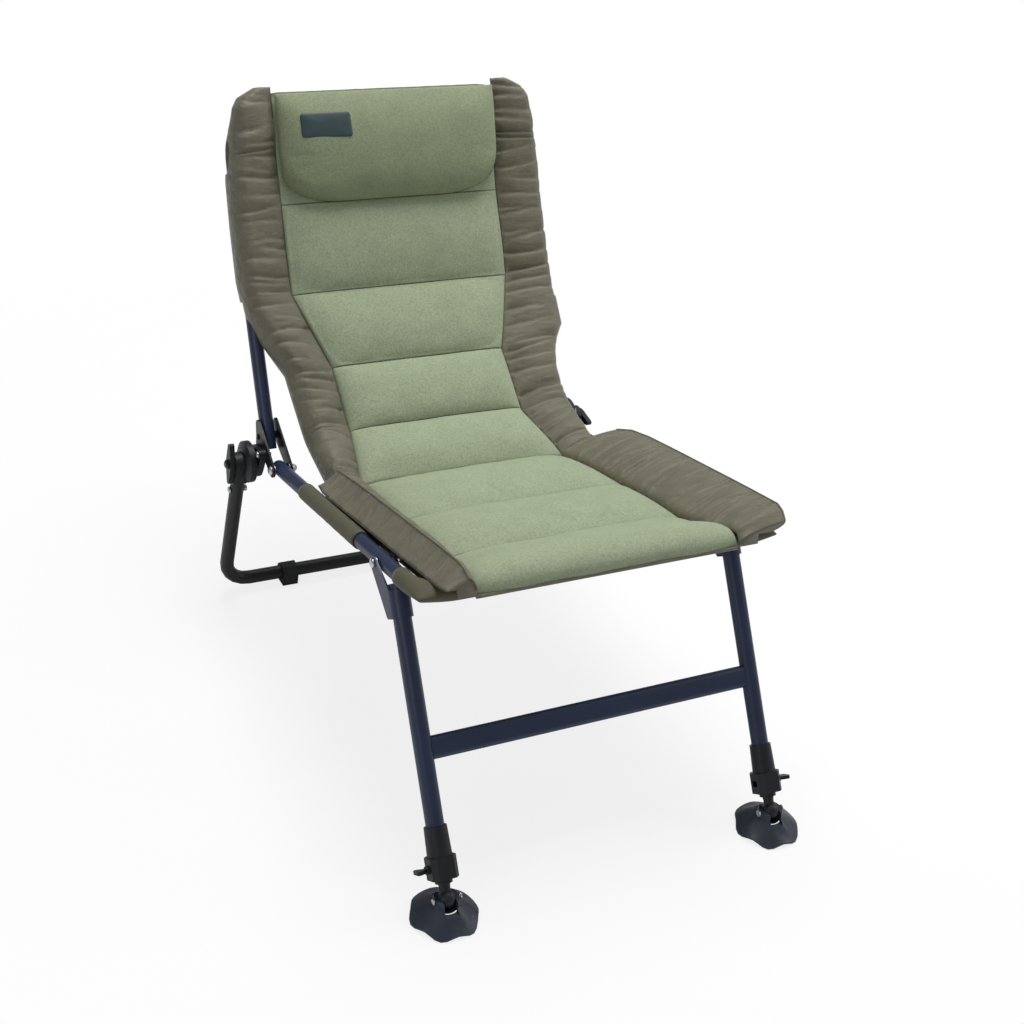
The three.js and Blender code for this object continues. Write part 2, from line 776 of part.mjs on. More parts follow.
function addRearPads() {
  const barPlace = new THREE.Vector2(
    lockPlace.x + rearLegDrop * Math.sin(rearLegLean),
    lockPlace.y - rearLegDrop * Math.cos(rearLegLean),
  );
  const bottom = barPlace.y - tubeRadius - rearPad.drop;
  const top = barPlace.y + rearPad.crown;
  const halfDepth = rearPad.depth / 2;
  const outline = new THREE.Shape([
    new THREE.Vector2(barPlace.x - halfDepth, bottom),
    new THREE.Vector2(barPlace.x + halfDepth, bottom),
    new THREE.Vector2(barPlace.x + halfDepth, top - rearPad.corner),
    new THREE.Vector2(barPlace.x + halfDepth - rearPad.corner, top),
    new THREE.Vector2(barPlace.x - halfDepth + rearPad.corner, top),
    new THREE.Vector2(barPlace.x - halfDepth, top - rearPad.corner),
  ]);
  const start = rearPad.place - rearPad.width / 2;
  const barRadius = (tubeRadius + gap) / Math.cos(Math.PI / boltSides);
  const bar = rodAlongX(barRadius, 0, start + overrun, barPlace.x, barPlace.y);
  const pad = cut(slab(outline, start, rearPad.width), bar);
  forBothSides((name, side) => {
    piece(`rear_foot_pad_${name}`, handed(pad, side), blackPlastic, chair);
  });
}

// Front leg group: its origin is the fold bolt, the leg runs down -Z, offset to the front.

const railSlope = frontLegLean - seatTilt;
const legShoulder = (legAxisOffset + legTubeRadius) * Math.tan(railSlope);
const legTop = -legShoulder - (tubeRadius + gap) / Math.cos(railSlope);
const ballDrop = (pivotHeight + legBoltPlace.y + legAxisOffset * Math.sin(frontLegLean) - ballHeight)
  / Math.cos(frontLegLean);
const ballZ = -ballDrop;
const legY = -legAxisOffset;

function legTubeStations() {
  return [new THREE.Vector3(legX, legY, ballZ + legEndAboveBall), new THREE.Vector3(legX, legY, legTop)];
}

function addFrontLegs() {
  const leg = tube(legTubeStations(), legTubeRadius, tubeWall);
  forBothSides((name, side) => piece(`front_leg_${name}`, handed(leg, side), navySteel, frontLegGroup));
}

function addBrace() {
  const long = brace.height / 2;
  const short = brace.depth / 2;
  const ovalHole = (inset) => beltOutline([
    [legY, long - short - brace.place, short - inset],
    [legY, short - long - brace.place, short - inset],
  ]);
  const outline = ovalHole(0);
  outline.holes.push(new THREE.Path(ovalHole(brace.wall).getPoints()));
  const oval = slab(outline, -legX, legSpacing);
  const legs = [-1, 1].map((side) => handed(tube([
    new THREE.Vector3(legX, legY, -brace.place - overrun),
    new THREE.Vector3(legX, legY, -brace.place + overrun),
  ], legTubeRadius + gap), side));
  piece("front_brace", cut(oval, ...legs), navySteel, frontLegGroup);
}

// Bracket: a bent channel round the leg's front, whose two ears straddle the rail.

function channelSection() {
  const inner = legTubeRadius + gap;
  const outer = inner + bracket.thickness;
  const outline = new THREE.Shape();
  outline.moveTo(outer, overrun);
  outline.lineTo(outer, 0);
  outline.absarc(0, 0, outer, 0, -Math.PI, true);
  outline.lineTo(-outer, overrun);
  outline.lineTo(-inner, overrun);
  outline.lineTo(-inner, 0);
  outline.absarc(0, 0, inner, -Math.PI, 0, false);
  outline.lineTo(inner, overrun);
  return outline;
}

function addBrackets() {
  const outer = legTubeRadius + gap + bracket.thickness;
  const front = legY - outer - overrun;
  const height = bracket.bottom + bracket.earRadius;
  const channel = new THREE.ExtrudeGeometry(channelSection(), {
    depth: height, bevelEnabled: false, curveSegments: frameSides / 2,
  }).translate(legX, legY, -bracket.bottom);
  const band = new THREE.Shape([
    new THREE.Vector2(front, -bracket.bottom),
    new THREE.Vector2(-bracket.rearReach, -bracket.bottom),
    new THREE.Vector2(-bracket.rearReach, -bracket.top),
    new THREE.Vector2(front, -bracket.top),
  ]);
  const ear = beltOutline([
    [0, 0, bracket.earRadius],
    [-bracket.rearReach, bracket.heelRadius - bracket.bottom, bracket.heelRadius],
    [-bracketShoulder.reach, -bracketShoulder.drop, bracketShoulder.radius],
  ]);
  const sideView = join(slab(band, legX - outer, outer * 2), slab(ear, legX - outer, outer * 2));
  const body = cut(common(channel, sideView), rodAlongX(legBolt.shank + boreGap, 0, legX + overrun));
  forBothSides((name, side) => {
    piece(`leg_bracket_${name}`, handed(body, side), navySteel, frontLegGroup);
  });
}

function addLegBolts() {
  const earInner = legTubeRadius + gap;
  const earOuter = earInner + bracket.thickness + gap;
  const washers = [
    [legX - earInner + gap, legX - tubeRadius - gap, legBolt.washer],
    [legX + tubeRadius + gap, legX + earInner - gap, legBolt.washer],
  ];
  const bolt = boltAlongX(legBolt, legX + earOuter, legX - earOuter - legBolt.tail, washers);
  const nut = nutAlongX(
    legBolt.nut, legBolt.shank + boreGap, legX - earOuter - legBolt.nutHeight, legBolt.nutHeight,
  );
  forBothSides((name, side) => {
    piece(`leg_fold_bolt_${name}`, handed(bolt, side), zinc, frontLegGroup);
    piece(`leg_fold_nut_${name}`, handed(nut, side), zinc, frontLegGroup);
  });
}

// Collar and clamp on the leg's end, with the thumbscrew that holds the sliding stem.

function clampOutline() {
  const { halfWidth, halfDepth, chamfer } = clampBox;
  const corners = [[1, 1], [-1, 1], [-1, -1], [1, -1]];
  return new THREE.Shape(corners.flatMap(([x, y], index) => {
    const cutPair = [
      new THREE.Vector2(x * halfWidth, y * (halfDepth - chamfer)),
      new THREE.Vector2(x * (halfWidth - chamfer), y * halfDepth),
    ];
    return index % 2 === 0 ? cutPair : cutPair.reverse();
  }));
}

function addCollars() {
  const sleeve = turnedAlongZ([
    [0, collar.top],
    [collar.radius, collar.top],
    [collar.footRadius, clampBox.top],
    [collar.footRadius, clampBox.bottom],
    [clampBox.stepRadius, clampBox.bottom],
    [clampBox.stepRadius, clampBox.bottom - clampBox.step],
    [0, clampBox.bottom - clampBox.step],
  ]);
  const box = new THREE.ExtrudeGeometry(clampOutline(), {
    depth: clampBox.top - clampBox.bottom, bevelEnabled: false,
  }).translate(0, 0, clampBox.bottom);
  const legBore = turnedAlongZ([
    [0, legEndAboveBall - gap], [legTubeRadius + gap, legEndAboveBall - gap],
    [legTubeRadius + gap, collar.top + overrun], [0, collar.top + overrun],
  ], frameSides * 2);
  const stemBore = turnedAlongZ([
    [0, -overrun], [stem.radius + boreGap, -overrun],
    [stem.radius + boreGap, collar.top], [0, collar.top],
  ], frameSides * 2);
  const screwBore = thumbscrew.shank + boreGap;
  const screwHole = rodAlongX(screwBore, 0, clampBox.halfWidth + overrun, 0, thumbscrew.place);
  const slot = new THREE.BoxGeometry(clampSlot.depth * 2, clampSlot.width, clampSlot.height)
    .translate(-clampBox.halfWidth, 0, thumbscrew.place);
  const body = cut(join(sleeve, box), legBore, stemBore, screwHole, slot).translate(legX, legY, ballZ);
  forBothSides((name, side) => {
    piece(`leg_collar_${name}`, handed(body, side), blackPlastic, frontLegGroup);
  });
}

function addThumbscrews() {
  const tip = stem.radius + gap;
  const hubStart = clampBox.halfWidth + gap;
  const shaft = rodAlongX(thumbscrew.shank, tip, hubStart + thumbscrew.hub);
  const hub = rodAlongX(thumbscrew.hub + thumbscrew.tip / 2, hubStart, hubStart + thumbscrew.hub);
  const outline = beltOutline([
    [hubStart + thumbscrew.hub, 0, thumbscrew.tip],
    [hubStart + thumbscrew.reach, thumbscrew.wing, thumbscrew.tip],
    [hubStart + thumbscrew.reach, -thumbscrew.wing, thumbscrew.tip],
  ]);
  const wing = new THREE.ExtrudeGeometry(outline, { depth: thumbscrew.thickness, bevelEnabled: false })
    .translate(0, 0, -thumbscrew.thickness / 2);
  const body = join(shaft, hub, wing).translate(legX, legY, ballZ + thumbscrew.place);
  forBothSides((name, side) => {
    piece(`thumbscrew_${name}`, handed(body, side), blackPlastic, frontLegGroup);
  });
}

function addStems() {
  const ballSteps = frameSides / 2;
  const neckAngle = Math.asin(stem.neck / ballRadius);
  const profile = Array.from({ length: ballSteps + 1 }, (_, step) => {
    const angle = ((Math.PI - neckAngle) * step) / ballSteps;
    return [ballRadius * Math.sin(angle), -ballRadius * Math.cos(angle)];
  });
  const guideRadius = legTubeRadius - tubeWall - stem.guideClearance;
  const guideStart = stem.length - stem.guideLength;
  profile.push(
    [stem.neck, clampBox.bottom - clampBox.step - clampBox.step],
    [stem.radius, clampBox.bottom - clampBox.step - gap],
    [stem.radius, guideStart], [guideRadius, guideStart], [guideRadius, stem.length], [0, stem.length],
  );
  profile[0][0] = 0;
  const body = cut(
    turnedAlongZ(profile, frameSides),
    rodAlongX(footPin.shank + boreGap, -overrun, overrun),
  ).translate(legX, legY, ballZ);
  forBothSides((name, side) => {
    piece(`foot_stem_${name}`, handed(body, side), blackPlastic, frontLegGroup);
  });
}

// Mud feet: fluted cones with a cup for the ball, standing level on the floor.

function footSection(angle) {
  const wave = (1 + Math.cos(mudFoot.lobes * angle)) / 2;
  const rim = mudFoot.rimRadius - mudFoot.rimDip * (1 - wave);
  const lift = mudFoot.rimLift * (1 - wave) - ballHeight;
  const middle = mudFoot.midHeight + mudFoot.flute * (wave - 1) - ballHeight;
  const cup = ballRadius + boreGap;
  const lipAngle = Math.asin(mudFoot.lipHeight / cup);
  const drainAngle = -Math.acos(mudFoot.drainRadius / cup);
  const socket = Array.from({ length: mudFoot.cupSteps + 1 }, (_, step) => {
    const turn = THREE.MathUtils.lerp(drainAngle, lipAngle, step / mudFoot.cupSteps);
    return [cup * Math.cos(turn), cup * Math.sin(turn)];
  });
  return [
    [mudFoot.lipRadius, mudFoot.lipHeight],
    [mudFoot.cupRadius, -mudFoot.shoulder],
    [mudFoot.midRadius, middle],
    [rim, lift + mudFoot.rimThickness],
    [rim, lift],
    [rim - mudFoot.rimFlat, lift],
    [mudFoot.midRadius, middle - mudFoot.wall],
    [mudFoot.skirtRadius, mudFoot.skirtHeight - ballHeight],
    [mudFoot.drainRadius, -mudFoot.cupDepth],
    ...socket,
  ];
}

function footGeometry() {
  const rings = Array.from({ length: mudFoot.steps }, (_, step) => {
    const angle = (fullTurn * step) / mudFoot.steps;
    return footSection(angle).map(([radius, z]) =>
      new THREE.Vector3(radius * Math.cos(angle), radius * Math.sin(angle), z));
  });
  const halfSlot = stem.radius + footSlot.clearance;
  const fan = new THREE.Shape();
  fan.moveTo(0, 0);
  fan.absarc(0, 0, footSlot.radius, footSlot.start, Math.PI - footSlot.start);
  const slot = slab(fan, -halfSlot, halfSlot * 2);
  return cut(loft(rings, true), slot, rodAlongX(footPin.shank + boreGap, -overrun, overrun));
}

function addFeet() {
  const place = new THREE.Vector2(
    legBoltPlace.x + legY * Math.cos(frontLegLean) + ballZ * Math.sin(frontLegLean),
    legBoltPlace.y - legY * Math.sin(frontLegLean) + ballZ * Math.cos(frontLegLean),
  );
  const feet = groupAt(place, 0);
  chair.add(feet);
  const foot = footGeometry().translate(legX, 0, 0);
  const pinEnd = mudFoot.cupRadius + gap;
  const pin = boltAlongX(footPin, pinEnd, -pinEnd - footPin.headHeight, [
    [-pinEnd - footPin.headHeight, -pinEnd, footPin.head],
  ]).translate(legX, 0, 0);
  forBothSides((name, side) => {
    piece(`mud_foot_${name}`, handed(foot, side), footPlastic, feet);
    piece(`foot_pin_${name}`, handed(pin, side), zinc, feet);
  });
}

// Slings: cloth sleeves round the tubes with a taut panel between them.

const sleeveRadius = tubeRadius + gap + sleeveThickness;
const seatSlingTop = slingThickness - sleeveRadius;

const rearSleeveEnd = legBoltReach - seatSleeve.bracketRoom;
const frontSleeveStart = legBoltReach + seatSleeve.frontRoom;

function seatSlingPanel() {
  const notchX = legX - seatSleeve.notch;
  const pocketX = railX(seatLength) + seatPocket.out;
  const right = [
    [railX(seatSleeve.rear), -seatSleeve.rear],
    [railX(rearSleeveEnd), -rearSleeveEnd],
    [notchX, -rearSleeveEnd],
    [notchX, -frontSleeveStart],
    [railX(frontSleeveStart), -frontSleeveStart],
    [pocketX, seatCornerRadius - seatLength],
    [pocketX, -seatLength - seatPocket.forward],
  ];
  const left = right.map(([x, y]) => [-x, y]).reverse();
  const outline = new THREE.Shape([...right, ...left].map(([x, y]) => new THREE.Vector2(x, y)));
  return new THREE.ExtrudeGeometry(outline, { depth: slingThickness, bevelEnabled: false })
    .translate(0, 0, -sleeveRadius);
}

function addSeatSling() {
  const rearSleeve = tube([
    new THREE.Vector3(railX(seatSleeve.rear), -seatSleeve.rear, 0),
    new THREE.Vector3(railX(rearSleeveEnd), -rearSleeveEnd, 0),
  ], sleeveRadius);
  const frontCorners = mirroredCorners([
    [new THREE.Vector3(-railX(frontSleeveStart), -frontSleeveStart, 0)],
    [new THREE.Vector3(-railX(seatLength), -seatLength, 0), seatCornerRadius],
  ]);
  const frontSleeve = tube(bentStations(frontCorners), sleeveRadius);
  const sling = cut(
    join(seatSlingPanel(), rearSleeve, handed(rearSleeve, -1), frontSleeve),
    tube(bentStations(seatCorners), tubeRadius + gap),
  );
  piece("seat_sling", sling, oliveCanvas, seatGroup);
}

const backSleeveStart = backLength - backSleeveLength;
const backSlingStart = backLength - backSlingLength;

function backSlingSide(offset) {
  const rises = [backSlingStart, headBendReach, backLength];
  return rises.map((rise) => new THREE.Vector2(backTubeSetbackAt(rise) + offset, rise));
}

function addBackSling() {
  const front = backSlingSide(backSlingSet);
  const rear = backSlingSide(backSlingSet + slingThickness);
  const stations = bentStations(backCorners(backSlingStart));
  const outline = new THREE.Shape(stations.map((point) => new THREE.Vector2(point.x, point.z)));
  const frameOutline = new THREE.ExtrudeGeometry(outline, { depth: overrun + overrun, bevelEnabled: false })
    .rotateX(Math.PI / 2)
    .translate(0, overrun + overrun, 0);
  const strip = slab(new THREE.Shape([...front, ...rear.reverse()]), -hingeX, hingeSpacing);
  const panel = common(strip, frameOutline);
  const openSides = [-1, 1].map((side) => {
    const bare = backSleeveStart - backSlingStart;
    return new THREE.BoxGeometry(sleeveRadius * 2 + tubeRadius * 2, overrun * 2, bare * 2)
      .translate(side * hingeX, backTubeSetback, backSlingStart);
  });
  const sleeves = tube(bentStations(backCorners(backSleeveStart)), sleeveRadius);
  const sling = cut(
    join(cut(panel, ...openSides), sleeves),
    tube(bentStations(backCorners(backTubeStart)), tubeRadius + gap),
  );
  piece("back_sling", sling, oliveCanvas, backGroup);
}

// Padding. A panel is laid on rows of places along its underside, seen from the side.
// Each corner of that line is [place, depth, crown of the channel that starts there or null].

function panelRows(corners, upward, startNormal) {
  const rows = [];
  corners.slice(0, -1).forEach(([from, depth, crown], index) => {
    const [to, nextDepth] = corners[index + 1];
    const count = Math.max(1, Math.round(from.distanceTo(to) / rowPitch));
    for (let step = 0; step < count; step += 1) {
      const part = step / count;
      rows.push({
        place: from.clone().lerp(to, part),
        depth: THREE.MathUtils.lerp(depth, nextDepth, part),
        crown: step === 0 ? crown : null,
      });
    }
  });
  const [end, endDepth] = corners.at(-1);
  rows.push({ place: end.clone(), depth: endDepth, crown: 0 });
  rows.forEach((row, index) => {
    const before = rows[Math.max(index - 1, 0)].place;
    const along = rows[Math.min(index + 1, rows.length - 1)].place.clone().sub(before).normalize();
    row.normal = new THREE.Vector2(-along.y, along.x).multiplyScalar(upward);
  });
  rows[0].normal = startNormal;
  raiseChannels(rows);
  return rows.map((row) => ({ ...row, depth: row.depth - row.pinch }));
}

// The crown rises from nothing at a seam to its height in the middle of the channel.
function raiseChannels(rows) {
  const seams = rows.flatMap((row, index) => (row.crown === null ? [] : [index]));
  seams.slice(0, -1).forEach((first, order) => {
    const last = seams[order + 1];
    const { crown } = rows[first];
    const lengths = [0];
    for (let index = first + 1; index <= last; index += 1) {
      lengths.push(lengths.at(-1) + rows[index].place.distanceTo(rows[index - 1].place));
    }
    lengths.forEach((length, step) => {
      const part = length / lengths.at(-1);
      const rise = Math.sqrt(Math.max(0, Math.sin(Math.PI * part)));
      rows[first + step].height = crown * rise;
      rows[first + step].pinch = seamPinch * (1 - rise);
    });
  });
}

function shareAt(table, place) {
  const after = table.findIndex(([edge]) => edge > place);
  if (after <= 0) {
    return after === 0 ? table[0][1] : table.at(-1)[1];
  }
  const [start, startShare] = table[after - 1];
  const [end, endShare] = table[after];
  return THREE.MathUtils.lerp(startShare, endShare, (place - start) / (end - start));
}

function seatReachOf(place) {
  return place.y * Math.sin(seatTilt) - place.x * Math.cos(seatTilt);
}

function backRiseOf(place) {
  return place.x * Math.sin(backRecline) + place.y * Math.cos(backRecline);
}

function seatHalfWidthAt(reach) {
  return shareAt(seatHalfShares, reach / seatLength) * railX(reach);
}

function seatHalfWidth(place) {
  return seatHalfWidthAt(seatReachOf(place));
}

// Near the hinges the back's padding lies between the seat's rails, which may stand closer.
function backSpace(place) {
  return Math.min(hingeX, railX(Math.max(0, seatReachOf(place))));
}

function backHalfWidth(place) {
  return shareAt(backHalfShares, backRiseOf(place) / backLength) * backSpace(place);
}

function above(row, height) {
  return row.place.clone().addScaledVector(row.normal, height);
}

function at(x, place) {
  return new THREE.Vector3(x, place.x, place.y);
}

function seatRows() {
  const flat = seatSlingTop + gap;
  const wrap = sleeveRadius + lipClearance;
  const corners = seatSeamShares.map((share) => [fromSeat(-share * seatLength, flat), seatDepth, panelCrown]);
  corners.push([fromSeat(wrap * lipRun - seatLength, flat), seatDepth, null]);
  for (let step = 0; step <= lipSteps; step += 1) {
    const angle = THREE.MathUtils.lerp(lipStart, lipEnd, step / lipSteps);
    const place = fromSeat(wrap * Math.cos(angle) - seatLength, wrap * Math.sin(angle));
    corners.push([place, seatDepth, null]);
  }
  return panelRows(corners, -1, seatNormal);
}

function backRows() {
  const set = backSlingSet - gap;
  const front = sleeveRadius + lipClearance;
  const tubeSide = (drop) => {
    const rise = backLength - drop;
    return fromBack(backTubeSetbackAt(rise) + set, rise);
  };
  const tubeFront = (drop) => {
    const rise = backLength - drop;
    return fromBack(backTubeSetbackAt(rise) - front, rise);
  };
  const { length, roundLength, shoulderShare } = pillow;
  return panelRows([
    [fromSeat(gap + gap - seatSeamShares[0] * seatLength, seatSlingTop + gap), seatDepth, panelCrown],
    [fromBack(creaseDrop.setback, creaseDrop.rise), backDepth, panelCrown],
    [fromBack(lumbar.setback, lumbar.rise), backDepth, panelCrown],
    [tubeSide(backSleeveLength), backDepth, panelCrown],
    [tubeSide(headLength), backDepth, null],
    [tubeSide(length), backDepth, 0],
    [tubeSide(length - roundLength * shoulderShare), backDepth, null],
    [tubeSide(length - roundLength), backDepth, null],
    [tubeSide(topTuck.start), backDepth, null],
    [tubeFront(topTuck.end), topTuck.depth, null],
    [tubeFront(-topTuck.over), topTuck.depth, null],
  ], 1, seatNormal);
}

const crossShares = [-1, -0.94, -0.8, -0.5, 0, 0.5, 0.8, 0.94, 1];

function quiltedPanel(rows, halfWidthOf) {
  return loft(rows.map((row) => {
    const edge = (share, inset, height) => {
      const place = above(row, height);
      return at(share * (halfWidthOf(place) - gap - inset), place);
    };
    const top = crossShares.map((share) => {
      const fall = Math.abs(share) === 1 ? panelEdge : 0;
      return edge(share, 0, row.depth - fall + row.height * (1 - share ** 4));
    });
    const side = Math.min(drawIn, row.depth - panelEdge - gap);
    return [
      ...top, edge(1, edgeDraw, side), edge(1, drawIn, 0), edge(0, 0, 0),
      edge(-1, drawIn, 0), edge(-1, edgeDraw, side),
    ];
  }));
}

function addSeatCushion() {
  piece("seat_cushion", quiltedPanel(seatRows(), seatHalfWidth), sageFleece, softGroup);
}

function sleeveTool() {
  return tube(bentStations(backCorners(backTubeStart)), sleeveRadius + gap).rotateX(-backRecline);
}

function addBackCushion() {
  const panel = quiltedPanel(backRows(), backHalfWidth);
  piece("back_cushion", cut(panel, sleeveTool()), sageFleece, softGroup);
}

// Pillow: it lies on the top channel and its lower corners are rounded.

function addHeadPillow() {
  const rows = backRows();
  const first = rows.findIndex((row) => row.crown === 0);
  const last = rows.length - 1;
  const rings = rows.slice(first).map((row) => {
    const part = THREE.MathUtils.mapLinear(rows.indexOf(row), first, last, 0, 1);
    const swell = Math.PI * (pillow.endShare + part * (1 - pillow.endShare * 2));
    const rise = Math.sin(swell) ** pillow.fullnessShare;
    const bow = (backRiseOf(row.place) - backLength + pillow.length) / pillow.roundLength;
    const widened = THREE.MathUtils.clamp(bow, 0, 1) ** pillow.bowShare;
    const width = THREE.MathUtils.lerp(pillow.startShare, 1, widened);
    const halfWidth = (backHalfWidth(row.place) - drawIn) * width;
    const seat = row.depth + gap;
    const top = crossShares.map((share) => {
      const fall = Math.abs(share) === 1 ? 0 : (1 - share ** 4);
      return at(share * halfWidth, above(row, seat + panelEdge + pillowCrown * rise * fall));
    });
    const low = halfWidth - drawIn;
    return [...top, at(low, above(row, seat)), at(0, above(row, seat)), at(-low, above(row, seat))];
  });
  piece("head_pillow", loft(rings), sageFleece, softGroup);
}

// Bolsters: the floor rests on the sling, the outer part rides over the rail's sleeve.

function bolsterRing([reachShare, outerShare, crestShare, floorShare]) {
  const reach = reachShare * seatLength;
  const inner = seatHalfWidthAt(reach) + gap;
  const outer = outerShare * railX(reach);
  const crest = crestShare * bolsterHeight;
  const floor = THREE.MathUtils.lerp(seatSlingTop + gap, sleeveRadius + gap, floorShare);
  const lift = sleeveRadius + gap + gap;
  const wall = Math.min(railX(reach) - sleeveRadius - gap - gap, THREE.MathUtils.lerp(inner, outer, 1 / 2));
  const foot = (outer - inner) * footShare;
  const section = [
    [inner, floor + Math.min(drawIn, (crest - floor) / 2)],
    [inner, THREE.MathUtils.lerp(floor, crest, innerEdgeShare)],
    ...crestShares.map(([x, height]) => [
      THREE.MathUtils.lerp(inner, outer, x),
      THREE.MathUtils.lerp(floor, crest, height),
    ]),
    [outer, THREE.MathUtils.lerp(lift, crest, 1 / 2)],
    [outer - foot, lift],
    [wall, lift],
    [wall - gap, floor],
    [inner + foot, floor],
  ];
  return section.map(([x, z]) => at(x, fromSeat(-reach, z)));
}

function addBolsters() {
  const body = loft(bolsterShares.map(bolsterRing));
  forBothSides((name, side) => {
    piece(`seat_bolster_${name}`, handed(body, side), oliveSatin, softGroup);
  });
}

// Side padding of the back: in front of the tubes, and flush with the quilted panel's edge.

function sideRing(row) {
  const rise = backRiseOf(row.place);
  const setback = row.place.x * Math.cos(backRecline) - row.place.y * Math.sin(backRecline);
  const lift = Math.max(0, setback - backTubeSetbackAt(rise) + sleeveRadius + gap + gap);
  const outer = shareAt(sideOuterShares, rise / backLength) * backSpace(row.place);
  const wall = Math.min(hingeX - sleeveRadius - gap - gap, outer - drawIn - drawIn);
  const crest = Math.max(row.depth + sideCrown, lift + sideCrown);
  const edge = (share, height) => {
    const place = above(row, height);
    const inner = backHalfWidth(place) + gap;
    return at(THREE.MathUtils.lerp(inner, outer, share), place);
  };
  const fixed = (x, height) => at(x, above(row, height));
  const seam = row.depth - panelEdge;
  return [
    edge(0, Math.min(drawIn, seam - gap)),
    edge(0, seam),
    ...sideShares.map(([share, height]) => edge(share, THREE.MathUtils.lerp(seam, crest, height))),
    edge(1, (crest + lift) / 2),
    fixed(outer - drawIn / 2, lift),
    fixed(wall, lift),
    fixed(wall - gap, 0),
    edge(footShare, 0),
  ];
}

function addSidePanels() {
  const body = cut(loft(backRows().map(sideRing)), sleeveTool());
  forBothSides((name, side) => {
    piece(`back_side_panel_${name}`, handed(body, side), oliveSatin, softGroup);
  });
}

addSeatFrame();
addSeatSling();
addSeatCushion();
addBolsters();
addBackFrame();
addHingePlates();
addPivotBolts();
addPlateRivets();
addBackSling();
addBackCushion();
addHeadPillow();
addSidePanels();
addFixedDiscs();
addLockAxles();
addRearLeg();
addSwivelDiscs();
addLevers();
addLegScrews();
addRearPads();
addFrontLegs();
addBrace();
addBrackets();
addLegBolts();
addCollars();
addThumbscrews();
addStems();
addFeet();

// Stand the chair on the floor and centre it from front to back.
chair.position.z = pivotHeight;
chair.updateMatrixWorld(true);
const box = new THREE.Box3().setFromObject(chair, true);
chair.position.y = -(box.min.y + box.max.y) / 2;
chair.updateMatrixWorld(true);

export default chair;
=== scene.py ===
import json
import math

import bpy
import bmesh
import numpy as np
from mathutils import Matrix, Vector, noise
from mathutils.bvhtree import BVHTree

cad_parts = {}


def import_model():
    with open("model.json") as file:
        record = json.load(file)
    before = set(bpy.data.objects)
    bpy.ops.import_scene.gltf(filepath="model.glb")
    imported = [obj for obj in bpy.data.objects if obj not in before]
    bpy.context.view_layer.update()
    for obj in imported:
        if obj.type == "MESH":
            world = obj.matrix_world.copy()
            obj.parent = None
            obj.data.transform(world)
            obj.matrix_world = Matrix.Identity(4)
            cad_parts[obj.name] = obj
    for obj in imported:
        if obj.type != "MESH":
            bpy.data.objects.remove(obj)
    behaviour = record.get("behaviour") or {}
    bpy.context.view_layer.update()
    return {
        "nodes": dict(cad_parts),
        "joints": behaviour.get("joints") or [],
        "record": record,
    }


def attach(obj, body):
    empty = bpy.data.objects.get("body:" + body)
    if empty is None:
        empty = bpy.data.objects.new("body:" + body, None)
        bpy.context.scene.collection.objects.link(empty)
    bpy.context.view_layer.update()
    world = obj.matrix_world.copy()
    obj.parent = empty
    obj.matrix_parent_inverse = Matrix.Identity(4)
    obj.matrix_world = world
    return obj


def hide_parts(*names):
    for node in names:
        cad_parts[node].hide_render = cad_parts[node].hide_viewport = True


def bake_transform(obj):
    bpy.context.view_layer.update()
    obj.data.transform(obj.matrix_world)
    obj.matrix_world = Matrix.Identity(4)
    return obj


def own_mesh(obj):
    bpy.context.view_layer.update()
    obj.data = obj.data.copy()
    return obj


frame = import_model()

# Layout, as in the CAD source, in metres
SEAT_TILT = math.radians(13.9)
RECLINE = math.radians(30.5)
TUBE = 0.011
SLEEVE = 0.0131
HINGE_X = 0.249
LEG_X = 0.2615
SEAT_LENGTH = 0.535
LEG_REACH = 0.405
BACK_LENGTH = 0.555
SETBACK = 0.040
HEAD_BEND = 0.369
HEAD_ANGLE = math.radians(4.5)
SEAT_CORNER = 0.048
BACK_CORNER = 0.080
SLING = 0.0024
EDGE_DROP = 0.009
PIVOT = Vector(next(j for j in frame["joints"] if j["name"] == "back_fold")["pos_m"])


def from_seat(y, z):
    """A place in the seat's plane, as (y, z) of the part's frame."""
    return np.array([
        PIVOT.y + y * math.cos(SEAT_TILT) + z * math.sin(SEAT_TILT),
        PIVOT.z + z * math.cos(SEAT_TILT) - y * math.sin(SEAT_TILT),
    ])


def from_back(v, u):
    """A place on the back, v behind the hinge line and u up it, as (y, z)."""
    return np.array([
        PIVOT.y + v * math.cos(RECLINE) + u * math.sin(RECLINE),
        PIVOT.z + u * math.cos(RECLINE) - v * math.sin(RECLINE),
    ])


def seat_reach(place):
    y, z = place[0] - PIVOT.y, place[1] - PIVOT.z
    return z * math.sin(SEAT_TILT) - y * math.cos(SEAT_TILT)


def back_rise(place):
    y, z = place[0] - PIVOT.y, place[1] - PIVOT.z
    return y * math.sin(RECLINE) + z * math.cos(RECLINE)


def tube_setback(rise):
    return SETBACK - max(0.0, rise - HEAD_BEND) * math.tan(HEAD_ANGLE)


def rail_x(reach):
    return HINGE_X + (LEG_X - HINGE_X) / LEG_REACH * reach


# Camera at the photograph's place

def add_camera():
    yaw, pitch, roll = math.radians(32.2), math.radians(32.4), math.radians(9.2)
    forward = Vector((math.sin(yaw) * math.cos(pitch), math.cos(yaw) * math.cos(pitch), -math.sin(pitch)))
    right = Vector((math.cos(yaw), -math.sin(yaw), 0))
    up = right.cross(forward)
    r = right * math.cos(roll) + up * math.sin(roll)
    u = -right * math.sin(roll) + up * math.cos(roll)
    data = bpy.data.cameras.new("camera")
    data.sensor_width = 36
    data.lens = 1768 / 1024 * 36
    camera = bpy.data.objects.new("camera", data)
    bpy.context.scene.collection.objects.link(camera)
    place = Vector((-1.159, -1.428 - 0.687 + PIVOT.y, 1.716))
    turn = Matrix((r, u, -forward)).transposed().to_4x4()
    camera.matrix_world = Matrix.Translation(place) @ turn
    bpy.context.scene.camera = camera


